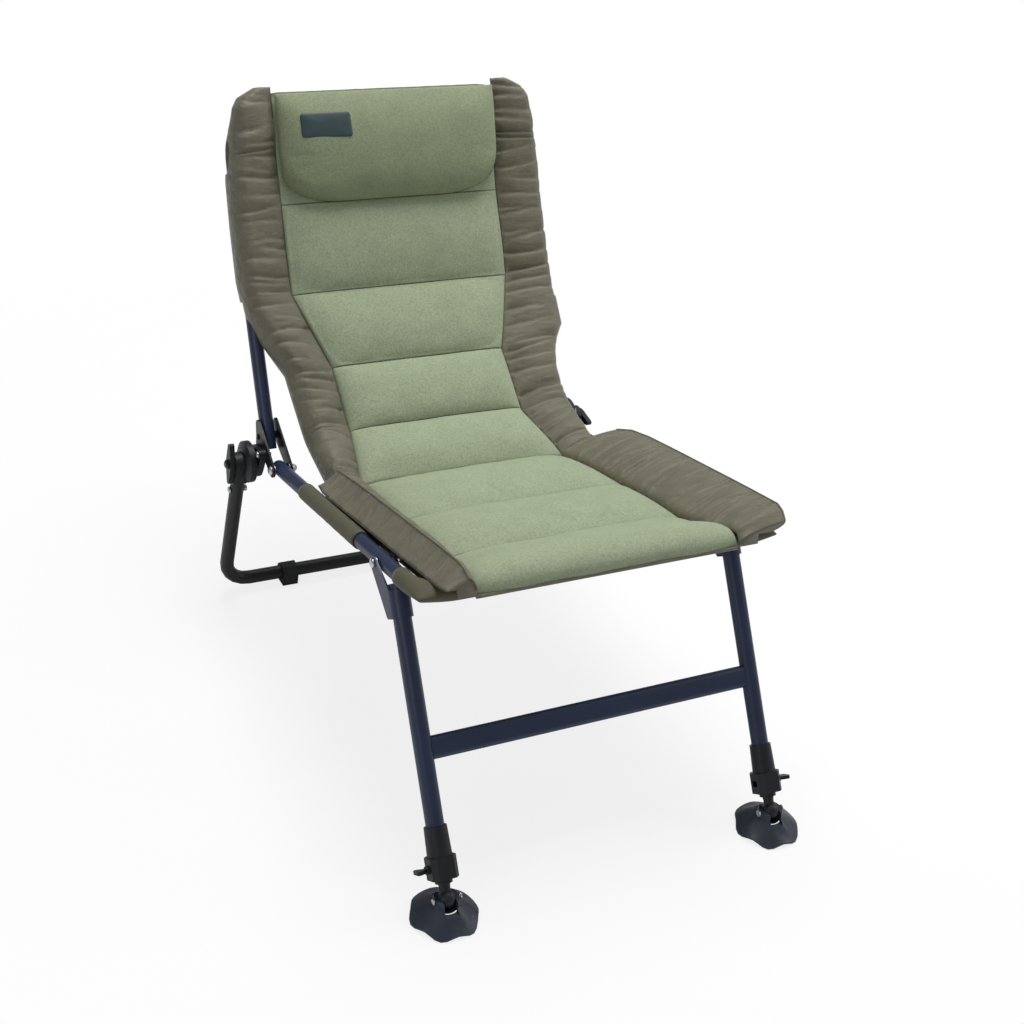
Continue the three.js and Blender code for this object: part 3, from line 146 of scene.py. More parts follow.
# Materials

def linear(red, green, blue):
    def channel(value):
        value /= 255
        return value / 12.92 if value <= 0.04045 else ((value + 0.055) / 1.055) ** 2.4
    return (channel(red), channel(green), channel(blue), 1.0)


class Surface:
    """A material under construction: short ways to add nodes and link them."""

    def __init__(self, name, roughness, metallic=0.0):
        self.material = bpy.data.materials.new(name)
        self.material.use_nodes = True
        self.nodes = self.material.node_tree.nodes
        self.links = self.material.node_tree.links
        self.shader = self.nodes["Principled BSDF"]
        self.shader.inputs["Roughness"].default_value = roughness
        self.shader.inputs["Metallic"].default_value = metallic
        self.place = self.nodes.new("ShaderNodeTexCoord").outputs["Object"]

    def noise(self, scale, detail=3.0, rough=0.55, place=None):
        node = self.nodes.new("ShaderNodeTexNoise")
        node.inputs["Scale"].default_value = scale
        node.inputs["Detail"].default_value = detail
        node.inputs["Roughness"].default_value = rough
        self.links.new(place or self.place, node.inputs["Vector"])
        return node.outputs["Fac"]

    def stretched(self, scale):
        node = self.nodes.new("ShaderNodeMapping")
        node.inputs["Scale"].default_value = scale
        self.links.new(self.place, node.inputs["Vector"])
        return node.outputs["Vector"]

    def wave(self, scale, direction, distortion=0.6):
        node = self.nodes.new("ShaderNodeTexWave")
        node.wave_type = "BANDS"
        node.bands_direction = direction
        node.inputs["Scale"].default_value = scale
        node.inputs["Distortion"].default_value = distortion
        node.inputs["Detail"].default_value = 1.0
        self.links.new(self.place, node.inputs["Vector"])
        return node.outputs["Fac"]

    def ramp(self, value, stops):
        node = self.nodes.new("ShaderNodeValToRGB")
        elements = node.color_ramp.elements
        while len(elements) < len(stops):
            elements.new(0.5)
        for element, (position, color) in zip(elements, stops):
            element.position = position
            element.color = color
        self.links.new(value, node.inputs["Fac"])
        return node.outputs["Color"]

    def math(self, kind, first, second):
        node = self.nodes.new("ShaderNodeMath")
        node.operation = kind
        for socket, value in zip(node.inputs, (first, second)):
            if isinstance(value, (int, float)):
                socket.default_value = value
            else:
                self.links.new(value, socket)
        return node.outputs["Value"]

    def mix(self, kind, share, first, second):
        node = self.nodes.new("ShaderNodeMix")
        node.data_type = "RGBA"
        node.blend_type = kind
        sockets = (node.inputs["Factor"], node.inputs[6], node.inputs[7])
        for socket, value in zip(sockets, (share, first, second)):
            if isinstance(value, (int, float, tuple)):
                socket.default_value = value
            else:
                self.links.new(value, socket)
        return node.outputs[2]

    def color(self, output):
        self.links.new(output, self.shader.inputs["Base Color"])

    def rough(self, output):
        self.links.new(output, self.shader.inputs["Roughness"])

    def bump(self, height, strength, distance):
        node = self.nodes.new("ShaderNodeBump")
        node.inputs["Strength"].default_value = strength
        node.inputs["Distance"].default_value = distance
        self.links.new(height, node.inputs["Height"])
        self.links.new(node.outputs["Normal"], self.shader.inputs["Normal"])


def scaled(color, factor):
    return (*(min(1.0, channel * factor) for channel in color[:3]), 1.0)


def fleece_material(name, color):
    s = Surface(name, 0.95)
    tufts = s.noise(330, 3.0, 0.6)
    pile = s.noise(1100, 2.0, 0.6)
    nap = s.noise(32, 3.0, 0.5)
    height = s.math("ADD", s.math("MULTIPLY", tufts, 0.7), s.math("MULTIPLY", pile, 0.3))
    tuft_color = s.ramp(height, [(0.3, scaled(color, 0.72)), (0.52, color), (0.75, scaled(color, 1.22))])
    nap_color = s.ramp(nap, [(0.35, (0.96, 0.96, 0.96, 1)), (0.65, (1.03, 1.03, 1.02, 1))])
    s.color(s.mix("MULTIPLY", 1.0, tuft_color, nap_color))
    s.bump(height, 0.55, 0.0016)
    s.shader.inputs["Sheen Weight"].default_value = 0.35
    s.shader.inputs["Sheen Roughness"].default_value = 0.6
    s.shader.inputs["Sheen Tint"].default_value = scaled(color, 2.0)
    s.shader.inputs["Specular IOR Level"].default_value = 0.15
    return s.material


def cloth_material(name, color, weave, roughness, sheen, creased=False):
    s = Surface(name, roughness)
    warp = s.wave(weave, "DIAGONAL", 0.3)
    weft = s.wave(weave * 0.8, "X", 0.3)
    cloud = s.noise(22, 4.0, 0.6)
    slub = s.noise(160, 3.0, 0.6, s.stretched((1.0, 4.0, 4.0)))
    height = s.math("ADD", s.math("MULTIPLY", warp, weft), s.math("MULTIPLY", slub, 0.8))
    base = s.ramp(cloud, [(0.3, scaled(color, 0.88)), (0.7, scaled(color, 1.12))])
    thread = s.ramp(height, [(0.2, (0.86, 0.86, 0.86, 1)), (0.9, (1.1, 1.1, 1.1, 1))])
    s.color(s.mix("MULTIPLY", 1.0, base, thread))
    worn = s.math("ADD", s.math("MULTIPLY", cloud, 0.16), roughness - 0.08)
    s.rough(worn)
    if creased:
        creases = s.noise(75, 2.0, 0.5, s.stretched((0.3, 1.0, 1.0)))
        s.bump(s.math("ADD", s.math("MULTIPLY", height, 0.05), creases), 0.6, 0.006)
    else:
        s.bump(height, 0.25, 0.0006)
    s.shader.inputs["Sheen Weight"].default_value = sheen
    s.shader.inputs["Sheen Roughness"].default_value = 0.4
    s.shader.inputs["Specular IOR Level"].default_value = 0.35
    return s.material


def paint_material(name, color, roughness):
    s = Surface(name, roughness)
    peel = s.noise(420, 2.0, 0.5)
    cloud = s.noise(9, 4.0, 0.6)
    scuff = s.noise(75, 5.0, 0.7, s.stretched((1.0, 1.0, 0.35)))
    base = s.ramp(cloud, [(0.3, scaled(color, 0.85)), (0.7, scaled(color, 1.15))])
    marks = s.ramp(scuff, [(0.66, (0, 0, 0, 1)), (0.74, (1, 1, 1, 1))])
    s.color(s.mix("MIX", s.math("MULTIPLY", marks, 0.25), base, scaled(color, 2.2)))
    s.rough(s.math("ADD", s.math("MULTIPLY", scuff, 0.22), roughness - 0.1))
    s.bump(peel, 0.12, 0.0004)
    s.shader.inputs["Specular IOR Level"].default_value = 0.35
    s.shader.inputs["Coat Weight"].default_value = 0.08
    s.shader.inputs["Coat Roughness"].default_value = 0.25
    return s.material


def plastic_material(name, color, roughness):
    s = Surface(name, roughness)
    grain = s.noise(900, 2.0, 0.6)
    cloud = s.noise(30, 3.0, 0.6)
    s.color(s.ramp(cloud, [(0.3, scaled(color, 0.85)), (0.7, scaled(color, 1.2))]))
    s.rough(s.math("ADD", s.math("MULTIPLY", cloud, 0.2), roughness - 0.1))
    s.bump(grain, 0.2, 0.0004)
    s.shader.inputs["Specular IOR Level"].default_value = 0.35
    return s.material


def metal_material(name, color, roughness):
    s = Surface(name, roughness, 1.0)
    haze = s.noise(140, 4.0, 0.6)
    brushed = s.noise(500, 2.0, 0.5, s.stretched((0.1, 1.0, 1.0)))
    s.color(s.ramp(haze, [(0.3, scaled(color, 0.8)), (0.7, color)]))
    s.rough(s.math("ADD", s.math("MULTIPLY", haze, 0.25), roughness - 0.1))
    s.bump(brushed, 0.1, 0.0002)
    return s.material


MATERIALS = {
    "fleece": fleece_material("sage_fleece", linear(141, 151, 126)),
    # The pillow's fleece is the same sage fleece made darker: painted shade.
    "pillow": fleece_material("pillow_fleece_painted_shade", linear(124, 132, 107)),
    # The seams' fleece is the same sage fleece made darker: painted shade in the seam creases.
    "seam": fleece_material("fleece_seam_painted_shade", linear(92, 97, 76)),
    "satin": cloth_material("olive_satin", linear(103, 100, 83), 700, 0.36, 0.12, creased=True),
    "canvas": cloth_material("olive_canvas", linear(78, 77, 58), 420, 0.7, 0.1),
    "patch": plastic_material("patch_rubber", linear(44, 60, 62), 0.5),
    "navy": paint_material("navy_paint", linear(36, 46, 72), 0.36),
    "black_paint": paint_material("black_paint", linear(19, 19, 22), 0.4),
    "plastic": plastic_material("black_plastic", linear(23, 25, 31), 0.45),
    "rubber": plastic_material("black_rubber", linear(26, 27, 30), 0.7),
    "foot": plastic_material("foot_plastic", linear(38, 45, 58), 0.42),
    "zinc": metal_material("zinc_plate", linear(205, 207, 210), 0.3),
}

SLOTS = {
    "navy_frame_paint": "navy",
    "black_frame_paint": "black_paint",
    "black_plastic": "plastic",
    "foot_rubber": "rubber",
    "mud_foot_plastic": "foot",
    "zinc_hardware": "zinc",
    "sage_fleece": "fleece",
    "olive_satin": "satin",
    "olive_canvas": "canvas",
}


def dress_cad_nodes():
    """Gives every CAD node its material, and smooth shading on its rounded faces."""
    slots = {row["node"]: row["material_slot"] for row in frame["record"]["subparts"]}
    for name, node in frame["nodes"].items():
        node.data.materials.clear()
        node.data.materials.append(MATERIALS[SLOTS[slots[name]]])
        node.data.polygons.foreach_set("use_smooth", [True] * len(node.data.polygons))
        weld = node.modifiers.new("weld", "WELD")
        weld.merge_threshold = 0.00002
        split = node.modifiers.new("edges", "EDGE_SPLIT")
        split.split_angle = math.radians(38)


# Mesh helpers

def finish_piece(name, bm, material, smooth=True):
    bmesh.ops.recalc_face_normals(bm, faces=bm.faces)
    mesh = bpy.data.meshes.new(name)
    bm.to_mesh(mesh)
    bm.free()
    mesh.polygons.foreach_set("use_smooth", [smooth] * len(mesh.polygons))
    mesh.materials.append(MATERIALS[material])
    piece = bpy.data.objects.new(name, mesh)
    bpy.context.scene.collection.objects.link(piece)
    return piece


def add_rings(bm, rings, closed=False):
    """Skins a list of rings, each an array of points round the piece, and caps its ends."""
    grid = [[bm.verts.new(point) for point in ring] for ring in rings]
    count = len(grid)
    for index in range(count if closed else count - 1):
        one, other = grid[index], grid[(index + 1) % count]
        for point in range(len(one)):
            after = (point + 1) % len(one)
            bm.faces.new((one[point], one[after], other[after], other[point]))
    if not closed:
        bm.faces.new(grid[0])
        bm.faces.new(list(reversed(grid[-1])))
    return grid


def resample(points, spacing):
    """Evenly spaced points along a line, and how far along each of the first points lies."""
    points = np.array(points)
    steps = np.linalg.norm(np.diff(points, axis=0), axis=1)
    lengths = np.concatenate([[0], np.cumsum(steps)])
    count = max(2, int(round(lengths[-1] / spacing)) + 1)
    places = np.linspace(0, lengths[-1], count)
    even = np.stack([np.interp(places, lengths, points[:, k]) for k in range(points.shape[1])], axis=1)
    return even, places, lengths


def eased(points, passes):
    """Rounds the corners of a line, and keeps its ends."""
    points = points.copy()
    for _ in range(passes):
        points[1:-1] = (points[:-2] + 2 * points[1:-1] + points[2:]) / 4
    return points


class Line:
    """The underside of a panel, seen from the side: places, normals and seams."""

    def __init__(self, corners, seams, upward, spacing=0.004, passes=18, start_normal=None):
        places, self.along, lengths = resample(corners, spacing)
        self.places = eased(places, passes)
        self.seams = [lengths[index] for index in seams]
        tangent = np.gradient(self.places, axis=0)
        tangent /= np.linalg.norm(tangent, axis=1)[:, None]
        self.normals = np.stack([-tangent[:, 1], tangent[:, 0]], axis=1) * upward
        if start_normal is not None:
            share = np.clip(self.along / 0.05, 0, 1)[:, None]
            share = share * share * (3 - 2 * share)
            blended = start_normal * (1 - share) + self.normals * share
            self.normals = blended / np.linalg.norm(blended, axis=1)[:, None]

    def at(self, distance, height):
        """The (y, z) place at a distance along the line and a height above it."""
        base = [np.interp(distance, self.along, self.places[:, k]) for k in (0, 1)]
        normal = [np.interp(distance, self.along, self.normals[:, k]) for k in (0, 1)]
        length = math.hypot(*normal)
        return np.array([base[k] + normal[k] / length * height for k in (0, 1)])

    @property
    def length(self):
        return self.along[-1]


def table(rows, value):
    return float(np.interp(value, [row[0] for row in rows], [row[1] for row in rows]))


# Half widths and outer edges, as in the CAD source: shares of the length and of the rails' places
SEAT_SEAMS = (0.239, 0.535, 0.819)
SEAT_HALF = [(0.239, 0.672), (0.535, 0.718), (0.819, 0.709), (1.03, 0.765)]
BACK_HALF = [(-0.05, 0.683), (0.072, 0.594), (0.256, 0.59), (0.472, 0.747), (0.748, 0.743), (1.02, 0.751)]
SIDE_OUTER = {
    -1: [(-0.05, 0.87), (0.056, 0.87), (0.25, 0.885), (0.342, 0.985), (0.42, 1.045), (0.52, 1.068),
         (0.79, 1.06), (0.923, 1.03), (0.982, 1.0), (1.008, 0.965), (1.036, 0.84)],
    1: [(-0.05, 0.94), (0.164, 0.94), (0.235, 0.985), (0.3, 1.075), (0.454, 1.08), (0.62, 1.075),
        (0.79, 1.065), (0.923, 1.035), (0.982, 1.0), (1.008, 0.965), (1.036, 0.84)],
}
TUCK = (0.070, 0.027, 0.010)
BACK_SLEEVE = 0.297
PILLOW_LENGTH = 0.156

SEAT_NORMAL = from_seat(0, 1) - from_seat(0, 0)
SLING_TOP = SLING - SLEEVE


def seat_line():
    flat = SLING_TOP + 0.0003
    wrap = SLEEVE + 0.0016
    corners = [from_seat(-share * SEAT_LENGTH, flat) for share in SEAT_SEAMS]
    corners.append(from_seat(wrap * 3 - SEAT_LENGTH, flat))
    for angle in np.radians(np.linspace(60, 190, 15)):
        corners.append(from_seat(wrap * math.cos(angle) - SEAT_LENGTH, wrap * math.sin(angle)))
    return Line(corners, [0, 1, 2, len(corners) - 1], -1, passes=3)


def back_line(over):
    """The underside of the back's padding, up to that far over the top tube's axis."""
    def behind(drop):
        rise = BACK_LENGTH - drop
        return from_back(tube_setback(rise) + 0.0027, rise)

    def before(drop):
        rise = BACK_LENGTH - drop
        return from_back(tube_setback(rise) - SLEEVE - 0.0016, rise)

    corners = [
        from_seat(0.0006 - SEAT_SEAMS[0] * SEAT_LENGTH, SLING_TOP + 0.0003),
        from_back(-0.033, 0.036),
        from_back(0.010, 0.138),
        behind(BACK_SLEEVE),
        behind(BACK_LENGTH - HEAD_BEND),
        behind(PILLOW_LENGTH),
        behind(TUCK[0]),
        before(TUCK[1]),
        before(-over),
    ]
    return Line(corners, [0, 1, 2, 3, 5, 8], 1, passes=14, start_normal=SEAT_NORMAL)


def half_seat(place):
    reach = seat_reach(place)
    return table(SEAT_HALF, reach / SEAT_LENGTH) * rail_x(reach)


def half_back(place):
    return table(BACK_HALF, back_rise(place) / BACK_LENGTH) * HINGE_X


def top_depth(line, distance):
    """How deep the back's padding is: less where it passes over the top tube."""
    end = line.length - 0.009
    return depth_at(distance, 0.022, end - TUCK[0], end - TUCK[1], TUCK[2])


def seat_depth(line, distance):
    """The seat's padding: thinner over the front tube, so that its top stays level."""
    end = line.length
    return table([(end - 0.075, 0.020), (end - 0.028, 0.015), (end - 0.010, 0.018), (end, 0.015)], distance)


def lumps(x, y, z, size, seed):
    """Smooth noise from about -1 to 1 for features of that size."""
    return noise.noise(Vector((x / size, y / size, z / size + seed * 17.3)))


def channel_profile(line, distance):
    """0 on a seam and 1 in the middle of a channel."""
    for start, end in zip(line.seams, line.seams[1:]):
        if distance <= end + 1e-9:
            part = min(1.0, max(0.0, (distance - start) / (end - start)))
            notch = min(1.0, min(distance - start, end - distance) / 0.0035)
            return math.sin(math.pi * part) ** 0.5 * (0.72 + 0.28 * max(0.0, notch) ** 0.5)
    return 0.0


def depth_at(distance, depth, start, end, low):
    share = min(1.0, max(0.0, (distance - start) / (end - start)))
    return depth + (low - depth) * share * share * (3 - 2 * share)


def row_places(line, first, last, spacing=0.004):
    """Rows along a panel, closer together beside its seams."""
    places = set(np.round(np.linspace(first, last, int((last - first) / spacing) + 1), 5))
    for seam in line.seams:
        near = {p for p in places if abs(p - seam) < 0.0055 and first < p < last}
        places -= near
        for offset in (-0.0045, -0.0024, -0.001, 0, 0.001, 0.0024, 0.0045):
            if first < seam + offset < last:
                places.add(round(seam + offset, 5))
    return sorted(places)


CLOTH_FRAMES = 20


def vertex_places(mesh):
    places = np.zeros(len(mesh.vertices) * 3)
    mesh.vertices.foreach_get("co", places)
    return places.reshape(-1, 3)


def add_cloth(piece, sewn, slack, pressure):
    """A cloth modifier that holds the sewn points and has the rest cut larger by slack."""
    places = vertex_places(piece.data)
    group = piece.vertex_groups.new(name="sewn")
    group.add([int(index) for index in sewn], 1.0, "REPLACE")
    piece.shape_key_add(name="Basis")
    cut = piece.shape_key_add(name="cut")
    middle = places.mean(axis=0)
    cut.data.foreach_set("co", ((places - middle) * np.array(slack) + middle).ravel())
    cloth = piece.modifiers.new("cloth", "CLOTH")
    settings = cloth.settings
    settings.quality = 7
    settings.mass = 0.15
    settings.tension_stiffness = 25
    settings.compression_stiffness = 25
    settings.shear_stiffness = 4
    settings.bending_stiffness = 0.05
    settings.use_pressure = True
    settings.uniform_pressure_force = pressure
    settings.vertex_group_mass = "sewn"
    settings.pin_stiffness = 50
    settings.rest_shape_key = cut
    settings.effector_weights.gravity = 0
    cloth.collision_settings.use_collision = False
    cloth.point_cache.frame_start = 1
    cloth.point_cache.frame_end = CLOTH_FRAMES


def settle(piece, sewn, slack, pressure, most):
    """Lets the cloth find its folds, and moves no point by more than that."""
    scene = bpy.context.scene
    start = vertex_places(piece.data)
    add_cloth(piece, sewn, slack, pressure)
    for number in range(1, CLOTH_FRAMES + 1):
        scene.frame_set(number)
    view = piece.evaluated_get(bpy.context.evaluated_depsgraph_get())
    folded = bpy.data.meshes.new_from_object(view)
    moved = vertex_places(folded) - start
    length = np.linalg.norm(moved, axis=1)[:, None]
    moved *= np.minimum(1, most / np.maximum(length, 1e-9))
    folded.vertices.foreach_set("co", (start + moved).ravel())
    piece.modifiers.clear()
    piece.shape_key_clear()
    piece.vertex_groups.clear()
    piece.data = folded
    folded.name = piece.name
    scene.frame_set(1)


def sewn_points(rings, is_sewn):
    """Vertex numbers of the held points of skinned rings: is_sewn(row, point) says which are."""
    size = len(rings[0])
    return [row * size + point for row in range(len(rings)) for point in range(size) if is_sewn(row, point)]


def paint_seam_shade(piece, stitched, rows, count):
    """Gives the faces between stitched rows the darker seam fleece: painted shade in the seam creases."""
    piece.data.materials.append(MATERIALS["seam"])
    for row in range(rows - 1):
        if row in stitched and row + 1 in stitched:
            for face in range(row * count, row * count + 60):
                piece.data.polygons[face].material_index = 1


def quilted(name, line, half_of, depth_of, crown, span, seed, covered_after=None, eased_after=None):
    """A fleece panel: sewn channels, a crowned cross-section and sides that pull in."""
    first, last = (line.length * share for share in span)
    shares = [math.copysign(1 - (1 - abs(share)) ** 1.5, share) for share in np.linspace(-1, 1, 61)]
    rings, sewn_rows, stitched = [], set(), set()
    for row, distance in enumerate(row_places(line, first, last)):
        if min(abs(distance - seam) for seam in line.seams[1:-1]) < 0.0012:
            stitched.add(row)
        covered = covered_after is not None and distance > covered_after
        rise = 0.0 if covered else channel_profile(line, distance)
        if covered or min(abs(distance - seam) for seam in line.seams) < 0.0012:
            sewn_rows.add(row)
        seam = depth_of(distance) - EDGE_DROP
        crest = crown * min(1.0, max(0.0, (seam - 0.002) / 0.009))

        def spot(share, height, inset=0.0):
            place = line.at(distance, height)
            return (share * (half_of(place) - 0.0003) - math.copysign(inset, share), *place)

        ring = []
        for share in shares:
            side = (1 - abs(share) ** 7) ** 0.55
            height = seam + side * (EDGE_DROP * (0.5 + 0.5 * rise) + crest * rise * (1 - 0.25 * share ** 2))
            x, y, z = spot(share, height)
            uneven = lumps(x, y, z, 0.055, seed) * 0.0016 + lumps(x, y, z, 0.016, seed + 3) * 0.0006
            height += side * uneven
            ring.append(spot(share, height))
        ring.append(spot(1, 0.003))
        ring.append(spot(1, 0.0, 0.003))
        ring += [spot(share, 0.0) for share in np.linspace(0.9, -0.9, 11)]
        ring.append(spot(-1, 0.0, 0.003))
        ring.append(spot(-1, 0.003))
        rings.append(ring)
    if eased_after is not None:
        first_row = sum(distance < eased_after for distance in row_places(line, first, last))
        block = eased(np.array([ring[:61] for ring in rings[first_row:]]), 12)
        for ring, top in zip(rings[first_row:], block):
            ring[:61] = list(top)
    bm = bmesh.new()
    add_rings(bm, rings)
    piece = finish_piece(name, bm, "fleece")
    # Painted shade: the faces along the stitched seams get the darker fleece.
    paint_seam_shade(piece, stitched, len(rings), len(rings[0]))
    ends = {0, len(rings) - 1}
    sewn = sewn_points(rings, lambda row, point: row in sewn_rows | ends or not 1 <= point <= 59)
    settle(piece, sewn, (1.04, 1.02, 1.02), 2.0, 0.0022)
    return piece


class Gathers:
    """Pleats across a strip: sharp creases with smooth cloth between them."""

    def __init__(self, length, seed, deep):
        random = np.random.default_rng(seed)
        places = np.cumsum(random.uniform(0.009, 0.030, int(length / 0.009)))
        self.places = places[places < length - 0.004]
        count = len(self.places)
        self.slants = random.uniform(-0.010, 0.016, count)
        self.depths = random.uniform(0.35, 1.0, count) * deep
        self.reaches = random.uniform(0.5, 1.4, count)
        self.from_seam = random.uniform(size=count) < 0.65

    def height(self, distance, share):
        run = np.where(self.from_seam, share, 1 - share)
        bend = self.slants * share + 0.0012 * math.sin(7 * share + distance * 40)
        offset = distance - self.places - bend
        width = np.where(offset < 0, 0.0022, 0.0070)
        fade = np.clip(1 - run / self.reaches, 0, 1) ** 0.6
        return -float(np.max(self.depths * fade * np.exp(-np.abs(offset) / width)))


def side_panel(name, line, side, seed):
    """Satin side padding of the back: gathered along its inner seam, wrapped over the tube."""
    rings = []
    gathers = Gathers(line.length, seed, 0.0095)
    for distance in np.linspace(0, line.length, int(line.length / 0.0024)):
        base = line.at(distance, 0)
        rise = back_rise(base)
        setback = (base[0] - PIVOT.y) * math.cos(RECLINE) - (base[1] - PIVOT.z) * math.sin(RECLINE)
        axis = setback - tube_setback(rise)
        lift = max(0.0, axis + SLEEVE + 0.0008)
        outer = table(SIDE_OUTER[side], rise / BACK_LENGTH) * HINGE_X
        seam = top_depth(line, distance) - EDGE_DROP
        crest = max(top_depth(line, distance), lift) + 0.015
        near_end = min(1.0, max(0.0, (line.length - distance) / 0.028))
        crest = seam + (crest - seam) * (0.35 + 0.65 * math.sqrt(near_end))
        arc = SLEEVE + 0.0006
        wraps = lift > 0.004 and outer > HINGE_X + arc
        wrap = axis - 0.009 if wraps else max(-0.003, axis)
        ring = []
        for step in range(33):
            share = step / 32
            across = min(1.0, share / 0.56)
            turn = max(0.0, (share - 0.56) / 0.44) * math.pi / 2
            wide = 0.74 * across + 0.26 * math.sin(turn)
            top = seam + (crest - seam) * math.sin(across * math.pi / 2) ** 0.8
            height = wrap + (top - wrap) * math.cos(turn) ** 0.8
            fade = min(1.0, share / 0.06) * min(1.0, (1 - share) / 0.3)
            height += gathers.height(distance, share) * fade
            place = line.at(distance, height)
            inner = half_back(place) + 0.0003
            ring.append((side * (inner + (outer - inner) * wide), *place))
        for angle in np.radians((-40, -8, 25, 58, 90)) if wraps else ():
            x = HINGE_X + arc * math.cos(angle)
            ring.append((side * x, *line.at(distance, axis + arc * math.sin(angle))))
        while len(ring) < 38:
            x = outer - 0.004 - (len(ring) - 33) * 0.003
            ring.append((side * x, *line.at(distance, lift)))
        wall = min(HINGE_X - SLEEVE - 0.0006, outer - 0.02)
        ring.append((side * wall, *line.at(distance, lift)))
        ring.append((side * (wall - 0.0003), *line.at(distance, 0.0005)))
        inner = half_back(base) + 0.0003
        ring.append((side * (inner + 0.003), *line.at(distance, 0.0005)))
        ring.append((side * inner, *line.at(distance, 0.003)))
        rings.append(ring)
    bm = bmesh.new()
    add_rings(bm, rings)
    piece = finish_piece(name, bm, "satin")
    last = len(rings) - 2
    settle(piece, sewn_points(rings, lambda row, point: not (1 < row < last and 0 < point < 31)),
           (1.04, 1.1, 1.1), 3.0, 0.006)
    return piece


# Rows of the bolsters as in the CAD source: reach, outer edge and crest as shares
BOLSTER = np.array([
    (0.239, 1.0, 0.75), (0.3, 1.024, 0.91), (0.387, 1.024, 0.98), (0.535, 1.016, 1.0),
    (0.819, 1.002, 1.0), (0.893, 0.997, 1.0), (1.009, 0.992, 0.98), (1.036, 0.984, 0.86),
    (1.056, 0.975, 0.62),
])
BOLSTER_HEIGHT = 0.044
RIDGE_POINT = 18


def bolster(name, side, lean, width, seed):
    """Satin side padding of the seat: a gathered top strip, a ridge seam and a side wall."""
    rings = []
    gathers = Gathers(SEAT_LENGTH, seed, 0.0090)
    for reach in np.linspace(BOLSTER[0, 0], BOLSTER[-1, 0], 180):
        outer, crest = (float(np.interp(reach, BOLSTER[:, 0], BOLSTER[:, k])) for k in (1, 2))
        reach *= SEAT_LENGTH
        outer *= rail_x(reach) * width
        crest *= BOLSTER_HEIGHT
        inner = table(SEAT_HALF, reach / SEAT_LENGTH) * rail_x(reach) + 0.0003
        lift = SLEEVE + 0.0008
        steps = (0.511, 0.527, 0.552, 0.559)
        inner_floor = float(np.interp(reach, steps, (-0.0102, 0.0136, 0.0136, 0.0)))
        seam = max(0.009, inner_floor + 0.004)
        ridge = outer + lean
        ring = []
        for step in range(27):
            if step <= RIDGE_POINT:
                across = step / RIDGE_POINT
                rise = 0.12 * across + 0.88 * math.sin(across * math.pi / 2) ** 0.62
                height = seam + (crest - seam) * rise
                x = inner + (ridge - inner) * across
            else:
                down = (step - RIDGE_POINT) / (26 - RIDGE_POINT)
                height = crest + (lift - crest) * down
                x = ridge + (outer - 0.004 - ridge) * down ** 1.5 + 0.004 * math.sin(math.pi * down)
            fade = min(1.0, step / 2) * min(1.0, abs(step - RIDGE_POINT) / 3) * min(1.0, (26 - step) / 3)
            height += gathers.height(reach, step / RIDGE_POINT % 1.0) * fade
            ring.append((x, height))
        wall = min(rail_x(reach) - SLEEVE - 0.0006, (inner + outer) / 2, 0.232)
        ring += [(wall, lift), (wall - 0.0003, inner_floor), (inner + 0.003, inner_floor)]
        ring.append((inner, inner_floor + 0.003))
        rings.append([(side * x, *from_seat(-reach, z)) for x, z in ring])
    bm = bmesh.new()
    add_rings(bm, rings)
    piece = finish_piece(name, bm, "satin")
    last = len(rings) - 1
    sewn = sewn_points(rings, lambda row, point: row in (0, last) or point in (0, RIDGE_POINT) or point > 25)
    settle(piece, sewn, (1.05, 1.08, 1.08), 3.0, 0.006)
    ridge = np.array([piece.data.vertices[row * 31 + RIDGE_POINT].co for row in range(len(rings))])
    end = np.array([piece.data.vertices[last * 31 + point].co for point in range(27)])
    cord = rod(f"{name}_piping", np.concatenate([ridge[:-1], end[RIDGE_POINT::-1]]), 0.0012, "satin", 6)
    return piece, cord


def pillow_rise(part):
    lower, upper = min(1.0, part / 0.2), min(1.0, (1 - part) / 0.34)
    return (1 - (1 - lower) ** 2) ** 0.5 * (1 - (1 - upper) ** 2) ** 0.5


def pillow(name, line, seed=11):
    """The head pillow: full, with round lower corners and small ears at its top."""
    start, end, full = line.seams[4], line.length - 0.002, 0.044
    low = start + np.linspace(0, 1, 20) ** 2 * full
    tops, floors = [], []
    for distance in np.concatenate([low, np.linspace(start + full, end, 40)[1:]]):
        thick = top_depth(line, distance)
        part = (distance - start) / (end - start)
        bow = min(1.0, (distance - start) / full)
        half = (half_back(line.at(distance, thick)) - 0.002) * (0.52 + 0.48 * (1 - (1 - bow) ** 2) ** 0.5)
        ring = []
        for step in range(57):
            share = -1 + 2 * step / 56
            share = math.copysign(1 - (1 - abs(share)) ** 1.5, share)
            side = (1 - abs(share) ** 8) ** 0.5
            height = thick + 0.0015 + 0.004 * side + 0.025 * pillow_rise(part) * side
            x = share * half
            y, z = line.at(distance, height)
            height += side * (lumps(x, y, z, 0.06, seed) * 0.002 + lumps(x, y, z, 0.018, seed) * 0.0006)
            ring.append((x, *line.at(distance, height)))
        tops.append(ring)
        flat = (half - 0.002) * np.linspace(1, -1, 9)
        floors.append([(x, *line.at(distance, thick + 0.0003)) for x in flat])
    tops = eased(np.array(tops), 45)
    rings = [list(top) + floor for top, floor in zip(tops, floors)]
    bm = bmesh.new()
    add_rings(bm, rings)
    # The pillow gets the darker copy of the fleece: painted shade.
    piece = finish_piece(name, bm, "pillow")
    last = len(rings) - 1
    settle(piece, sewn_points(rings, lambda row, point: row in (0, last) or not 1 <= point <= 55),
           (1.04, 1.03, 1.03), 2.0, 0.005)
    return piece


# Slings: cloth sleeves and panels

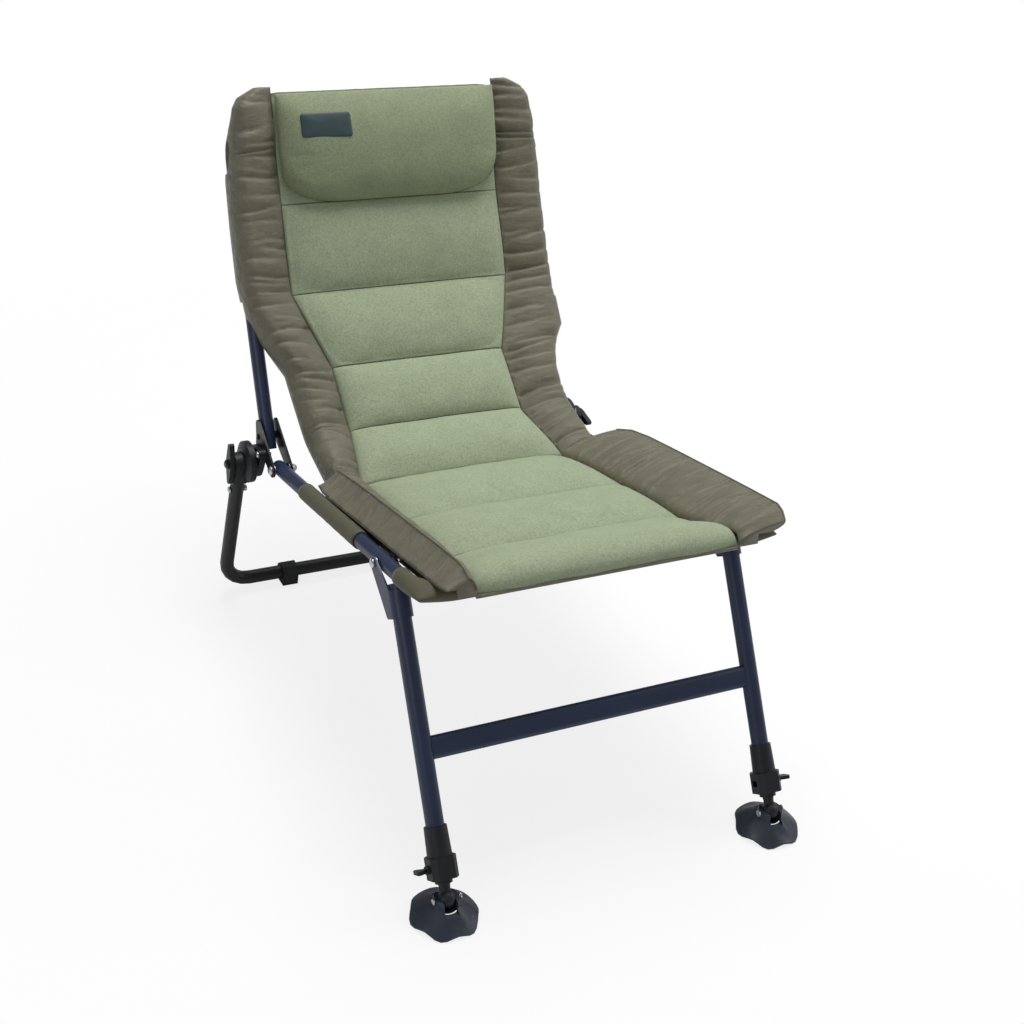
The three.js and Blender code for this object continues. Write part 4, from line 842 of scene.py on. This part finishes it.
def bent(corners, spacing=0.006):
    """A path through corners, each (point, bend radius)."""
    path = [np.array(corners[0][0])]
    for before, (corner, radius), after in zip(corners, corners[1:], corners[2:]):
        corner, start, end = (np.array(p, float) for p in (corner, before[0], after[0]))
        into = (corner - start) / np.linalg.norm(corner - start)
        out = (end - corner) / np.linalg.norm(end - corner)
        angle = math.acos(float(np.clip(into @ out, -1, 1)))
        inward = out - into * math.cos(angle)
        inward /= np.linalg.norm(inward)
        first = corner - into * radius * math.tan(angle / 2)
        for step in range(9):
            turn = angle * step / 8
            path.append(first + into * radius * math.sin(turn) + inward * radius * (1 - math.cos(turn)))
    path.append(np.array(corners[-1][0]))
    return resample(path, spacing)[0]


def sleeve_rings(path, outside, inside, seed):
    tangents = np.gradient(path, axis=0)
    tangents /= np.linalg.norm(tangents, axis=1)[:, None]
    side = np.cross(tangents[0], [0.3, 1.0, 0.2])
    outer, inner = [], []
    for index, (point, tangent) in enumerate(zip(path, tangents)):
        side = side - tangent * (side @ tangent)
        side /= np.linalg.norm(side)
        other = np.cross(tangent, side)
        rings = ([], [])
        for step in range(24):
            angle = 2 * math.pi * step / 24
            way = side * math.cos(angle) + other * math.sin(angle)
            spot = point + way * outside
            crumple = lumps(*spot, 0.012, seed) * 0.0004
            rings[0].append(point + way * (outside + crumple))
            rings[1].append(point + way * inside)
        outer.append(rings[0])
        inner.append(rings[1])
    return outer + inner[::-1]


def seat_point(x, y, z=0.0):
    return np.array([x, *from_seat(y, z)])


def back_point(x, v, u):
    return np.array([x, *from_back(v, u)])


def sheet_grid(bm, point_at, columns, rows, thickness_way):
    """A thin cloth panel: point_at(i share, j share) and the way of its thickness."""
    rings = []
    for j in range(rows + 1):
        front = [point_at(i / columns, j / rows) for i in range(columns + 1)]
        back = [point + thickness_way for point in reversed(front)]
        rings.append(front + back)
    add_rings(bm, rings)


def pocket_rings(path, inside):
    """The sleeve round the front tube: at each corner it stands out to a point."""
    centre = rail_x(SEAT_LENGTH) - SEAT_CORNER, SEAT_LENGTH - SEAT_CORNER
    outer, inner = [], []
    for point in path:
        x, reach = point[0], seat_reach(point[1:])
        dx, dy = max(0.0, abs(x) - centre[0]), max(0.0, reach - centre[1])
        length = math.hypot(dx, dy)
        way = np.array([math.copysign(dx, x), *(from_seat(-dy, 0) - from_seat(0, 0))]) / length
        square = (SEAT_CORNER + SLEEVE) / max(dx, dy) * length - SEAT_CORNER
        rings = ([], [])
        for step in range(28):
            angle = 2 * math.pi * step / 28
            out, up = math.cos(angle), math.sin(angle)
            pinch = 1 - 0.55 * max(0.0, out) ** 2 * (square / SLEEVE - 1) / 1.9
            stand = square if out > 0 else SLEEVE
            lift = np.array([0, *SEAT_NORMAL])
            rings[0].append(point + way * out * stand + lift * up * SLEEVE * pinch)
            rings[1].append(point + (way * out + lift * up) * inside)
        outer.append(rings[0])
        inner.append(rings[1])
    return outer + inner[::-1]


def seat_sling():
    bm = bmesh.new()
    radius = SLEEVE
    for side in (-1, 1):
        ends = [seat_point(side * rail_x(reach), -reach) for reach in (0.110, 0.324)]
        path = resample(ends, 0.006)[0]
        add_rings(bm, sleeve_rings(path, radius, TUBE + 0.0004, 3), closed=True)
    x = rail_x(SEAT_LENGTH)
    corners = [
        (seat_point(-rail_x(0.463), -0.463), 0),
        (seat_point(-x, -SEAT_LENGTH), SEAT_CORNER),
        (seat_point(x, -SEAT_LENGTH), SEAT_CORNER),
        (seat_point(rail_x(0.463), -0.463), 0),
    ]
    add_rings(bm, pocket_rings(bent(corners), TUBE + 0.0004), closed=True)
    thick = (seat_point(0, 0, 0.0008) - seat_point(0, 0, 0))

    def panel(start, end, half_start, half_end):
        def point_at(i, j):
            reach = start + (end - start) * j
            half = half_start + (half_end - half_start) * j
            across = (2 * i - 1) * half
            return seat_point(across, -reach, -radius + 0.0004)
        sheet_grid(bm, point_at, 24, 16, thick * 1.5)

    panel(0.110, 0.324, rail_x(0.110), rail_x(0.324))
    panel(0.324, 0.463, 0.2315, 0.2315)
    panel(0.463, 0.487, rail_x(0.463), rail_x(0.487))
    panel(0.487, 0.535, rail_x(0.487) - 0.004, x - SEAT_CORNER)
    piece = finish_piece("seat_sling_cloth", bm, "canvas")
    return piece


def back_sling():
    bm = bmesh.new()

    def corner_list(start):
        reach = BACK_LENGTH - HEAD_BEND
        top = HEAD_BEND + reach * math.cos(HEAD_ANGLE)
        top_v = SETBACK - reach * math.sin(HEAD_ANGLE)
        half = [
            (back_point(-HINGE_X, SETBACK, start), 0),
            (back_point(-HINGE_X, SETBACK, HEAD_BEND), 0.26),
            (back_point(-HINGE_X, top_v, top), BACK_CORNER),
        ]
        other = [(point * np.array([-1, 1, 1]), radius) for point, radius in reversed(half)]
        return half + other

    add_rings(bm, sleeve_rings(bent(corner_list(0.258)), SLEEVE, TUBE + 0.0004, 5), closed=True)
    thick = back_point(0, 0.0015, 0) - back_point(0, 0, 0)

    def point_at(i, j):
        rise = 0.214 + (0.550 - 0.214) * j
        half = 0.2265 if rise < 0.258 else 0.240
        corner = rise - (BACK_LENGTH - BACK_CORNER)
        if corner > 0:
            half = HINGE_X - BACK_CORNER + math.sqrt(max(0.0, (BACK_CORNER - 0.008) ** 2 - corner ** 2))
        return back_point((2 * i - 1) * half, tube_setback(rise) + 0.0034, rise)

    sheet_grid(bm, point_at, 30, 60, thick)
    return finish_piece("back_sling_cloth", bm, "canvas")


def rod(name, path, radius, material, sides=10):
    tangents = np.gradient(path, axis=0)
    tangents /= np.linalg.norm(tangents, axis=1)[:, None]
    side = np.cross(tangents[0], [0.31, 0.2, 1.0])
    rings = []
    for point, tangent in zip(path, tangents):
        side = side - tangent * (side @ tangent)
        side /= np.linalg.norm(side)
        other = np.cross(tangent, side)
        rings.append([point + (side * math.cos(a) + other * math.sin(a)) * radius
                      for a in np.linspace(0, 2 * math.pi, sides, endpoint=False)])
    bm = bmesh.new()
    add_rings(bm, rings)
    return finish_piece(name, bm, material)


def patch(head, line):
    """A plain rubber patch on the pillow, with rounded corners."""
    centre_x, half_x, half_y, thick, corner = -0.115, 0.040, 0.0125, 0.0018, 0.004
    middle = line.length - 0.043
    skin = BVHTree.FromObject(head, bpy.context.evaluated_depsgraph_get())

    def on_skin(x, distance, height):
        above = Vector((x, *line.at(distance, 0.1)))
        way = Vector((x, *line.at(distance, 0))) - above
        return skin.ray_cast(above, way.normalized())[0] - way.normalized() * height

    layers = [(-0.0012, 0.0, 1.0), (thick * 0.7, 0.0, 1.0)]
    layers += [(thick, 0.0009, size) for size in (1.0, 0.9, 0.75, 0.6, 0.45, 0.3, 0.15, 0.03)]
    rings = []
    for height, inset, size in layers:
        ring = []
        for quarter, (sx, sy) in enumerate(((1, 1), (-1, 1), (-1, -1), (1, -1))):
            for step in range(4):
                angle = math.pi / 2 * (quarter + step / 3)
                x = sx * (half_x - corner) + math.cos(angle) * (corner - inset)
                y = sy * (half_y - corner) + math.sin(angle) * (corner - inset)
                ring.append(on_skin(centre_x + x * size, middle + y * size, height))
        rings.append(ring)
    bm = bmesh.new()
    add_rings(bm, rings)
    return finish_piece("pillow_patch", bm, "patch")


def front_piping(line):
    """The bound lower edge of the seat pad's front lip."""
    place = line.at(line.length, 0.009)
    place += (place - line.at(line.length - 0.002, 0.009)) * 0.8
    half = half_seat(place) - 0.002
    path = resample([(-half, *place), (half, *place)], 0.01)[0]
    return rod("lip_piping", path, 0.0028, "satin", 10)


# Assembly

def add_pad(node):
    if node:
        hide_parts(node)


def flatten_on_seat(piece):
    """Attaches the padding to the seat's body, with a mesh of its own."""
    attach(piece, "seat")
    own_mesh(piece)


def bend_at_crease(piece):
    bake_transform(piece)


def add_fleece(seat, back):
    cushion = quilted("seat_pad", seat, half_seat, lambda place: seat_depth(seat, place), 0.014, (0, 1), 1,
                      eased_after=seat.seams[2] + 0.012)
    add_pad("seat_cushion")
    flatten_on_seat(cushion)
    piping = front_piping(seat)
    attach(piping, "seat")
    depth_of = lambda distance: top_depth(back, distance)
    split = back.seams[2] / back.length
    lower = quilted("back_pad_lower", back, half_back, depth_of, 0.014, (0, split), 2)
    add_pad(None)
    bend_at_crease(lower)
    upper = quilted("back_pad_upper", back, half_back, depth_of, 0.014, (split, 1), 3, back.seams[4])
    add_pad("back_cushion")
    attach(upper, "back")


def add_head(back):
    head = pillow("head_pad", back)
    add_pad("head_pillow")
    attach(head, "back")
    badge = patch(head, back)
    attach(badge, "back")


def add_sides():
    line = back_line(0.018)
    for label, side, lean, width in (("left", -1, -0.036, 0.97), ("right", 1, 0.016, 1.0)):
        strip = side_panel(f"side_pad_{label}", line, side, 4 + side)
        add_pad(f"back_side_panel_{label}")
        bend_at_crease(strip)
        roll, cord = bolster(f"bolster_{label}", side, lean, width, 7 + side)
        add_pad(f"seat_bolster_{label}")
        for piece in (roll, cord):
            flatten_on_seat(piece)


def add_slings():
    for piece, body, flat in ((seat_sling(), "seat", (0.68, 0.507)), (back_sling(), "back", (0.662, 0.423))):
        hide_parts(f"{body}_sling")
        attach(piece, body)


def build():
    dress_cad_nodes()
    seat, back = seat_line(), back_line(0.009)
    add_fleece(seat, back)
    add_head(back)
    add_sides()
    add_slings()


def add_floor():
    """A pale floor that keeps the shadow and fades to the white backdrop."""
    scene = bpy.context.scene
    bm = bmesh.new()
    size = 12.0
    corners = [bm.verts.new((x * size, y * size, -0.0005)) for x, y in ((-1, -1), (1, -1), (1, 1), (-1, 1))]
    bm.faces.new(corners)
    mesh = bpy.data.meshes.new("floor")
    bm.to_mesh(mesh)
    bm.free()
    floor = bpy.data.objects.new("floor", mesh)
    scene.collection.objects.link(floor)
    material = bpy.data.materials.new("floor_white")
    material.use_nodes = True
    nodes, links = material.node_tree.nodes, material.node_tree.links
    shader = nodes["Principled BSDF"]
    shader.inputs["Base Color"].default_value = (0.85, 0.85, 0.85, 1)
    shader.inputs["Roughness"].default_value = 0.9
    glow = nodes.new("ShaderNodeEmission")
    glow.inputs["Color"].default_value = (1, 1, 1, 1)
    path = nodes.new("ShaderNodeLightPath")
    blend = nodes.new("ShaderNodeMixShader")
    away = nodes.new("ShaderNodeVectorMath")
    away.operation = "LENGTH"
    links.new(nodes.new("ShaderNodeTexCoord").outputs["Object"], away.inputs[0])
    fade = nodes.new("ShaderNodeMapRange")
    for socket, value in (("From Min", 0.5), ("From Max", 1.6), ("To Min", 0.8), ("To Max", 1.0)):
        fade.inputs[socket].default_value = value
    links.new(away.outputs["Value"], fade.inputs["Value"])
    share = nodes.new("ShaderNodeMath")
    share.operation = "MULTIPLY"
    links.new(fade.outputs["Result"], share.inputs[1])
    links.new(path.outputs["Is Camera Ray"], share.inputs[0])
    links.new(share.outputs["Value"], blend.inputs["Fac"])
    links.new(shader.outputs["BSDF"], blend.inputs[1])
    links.new(glow.outputs["Emission"], blend.inputs[2])
    links.new(blend.outputs["Shader"], nodes["Material Output"].inputs["Surface"])
    mesh.materials.append(material)


def add_backdrop():
    """Soft light from all round, seen as plain white."""
    scene = bpy.context.scene
    world = bpy.data.worlds.new("studio")
    scene.world = world
    world.use_nodes = True
    nodes, links = world.node_tree.nodes, world.node_tree.links
    plain = nodes["Background"]
    plain.inputs["Color"].default_value = (1, 1, 1, 1)
    plain.inputs["Strength"].default_value = 0.3
    seen = nodes.new("ShaderNodeBackground")
    seen.inputs["Color"].default_value = (1, 1, 1, 1)
    seen.inputs["Strength"].default_value = 1.0
    path = nodes.new("ShaderNodeLightPath")
    straight = nodes.new("ShaderNodeMath")
    straight.operation = "MAXIMUM"
    links.new(path.outputs["Is Camera Ray"], straight.inputs[0])
    links.new(path.outputs["Is Transmission Ray"], straight.inputs[1])
    mixed = nodes.new("ShaderNodeMixShader")
    links.new(straight.outputs["Value"], mixed.inputs["Fac"])
    links.new(plain.outputs["Background"], mixed.inputs[1])
    links.new(seen.outputs["Background"], mixed.inputs[2])
    links.new(mixed.outputs["Shader"], nodes["World Output"].inputs["Surface"])


def add_lamps():
    scene = bpy.context.scene
    lamps = [
        ((0.3, 0.75, 3.0), 82, 1.8),
        ((2.0, -0.6, 1.4), 14, 1.0),
        ((-2.0, -1.2, 1.4), 8, 1.2),
    ]
    target = Vector((0, 0, 0.4))
    for index, (place, power, size) in enumerate(lamps):
        data = bpy.data.lights.new(f"lamp_{index}", "AREA")
        data.energy = power
        data.size = size
        lamp = bpy.data.objects.new(f"lamp_{index}", data)
        scene.collection.objects.link(lamp)
        lamp.location = place
        lamp.rotation_euler = (target - Vector(place)).to_track_quat("-Z", "Y").to_euler()


bpy.context.scene.view_settings.view_transform = "Standard"
add_camera()
build()
add_floor()
add_backdrop()
add_lamps()
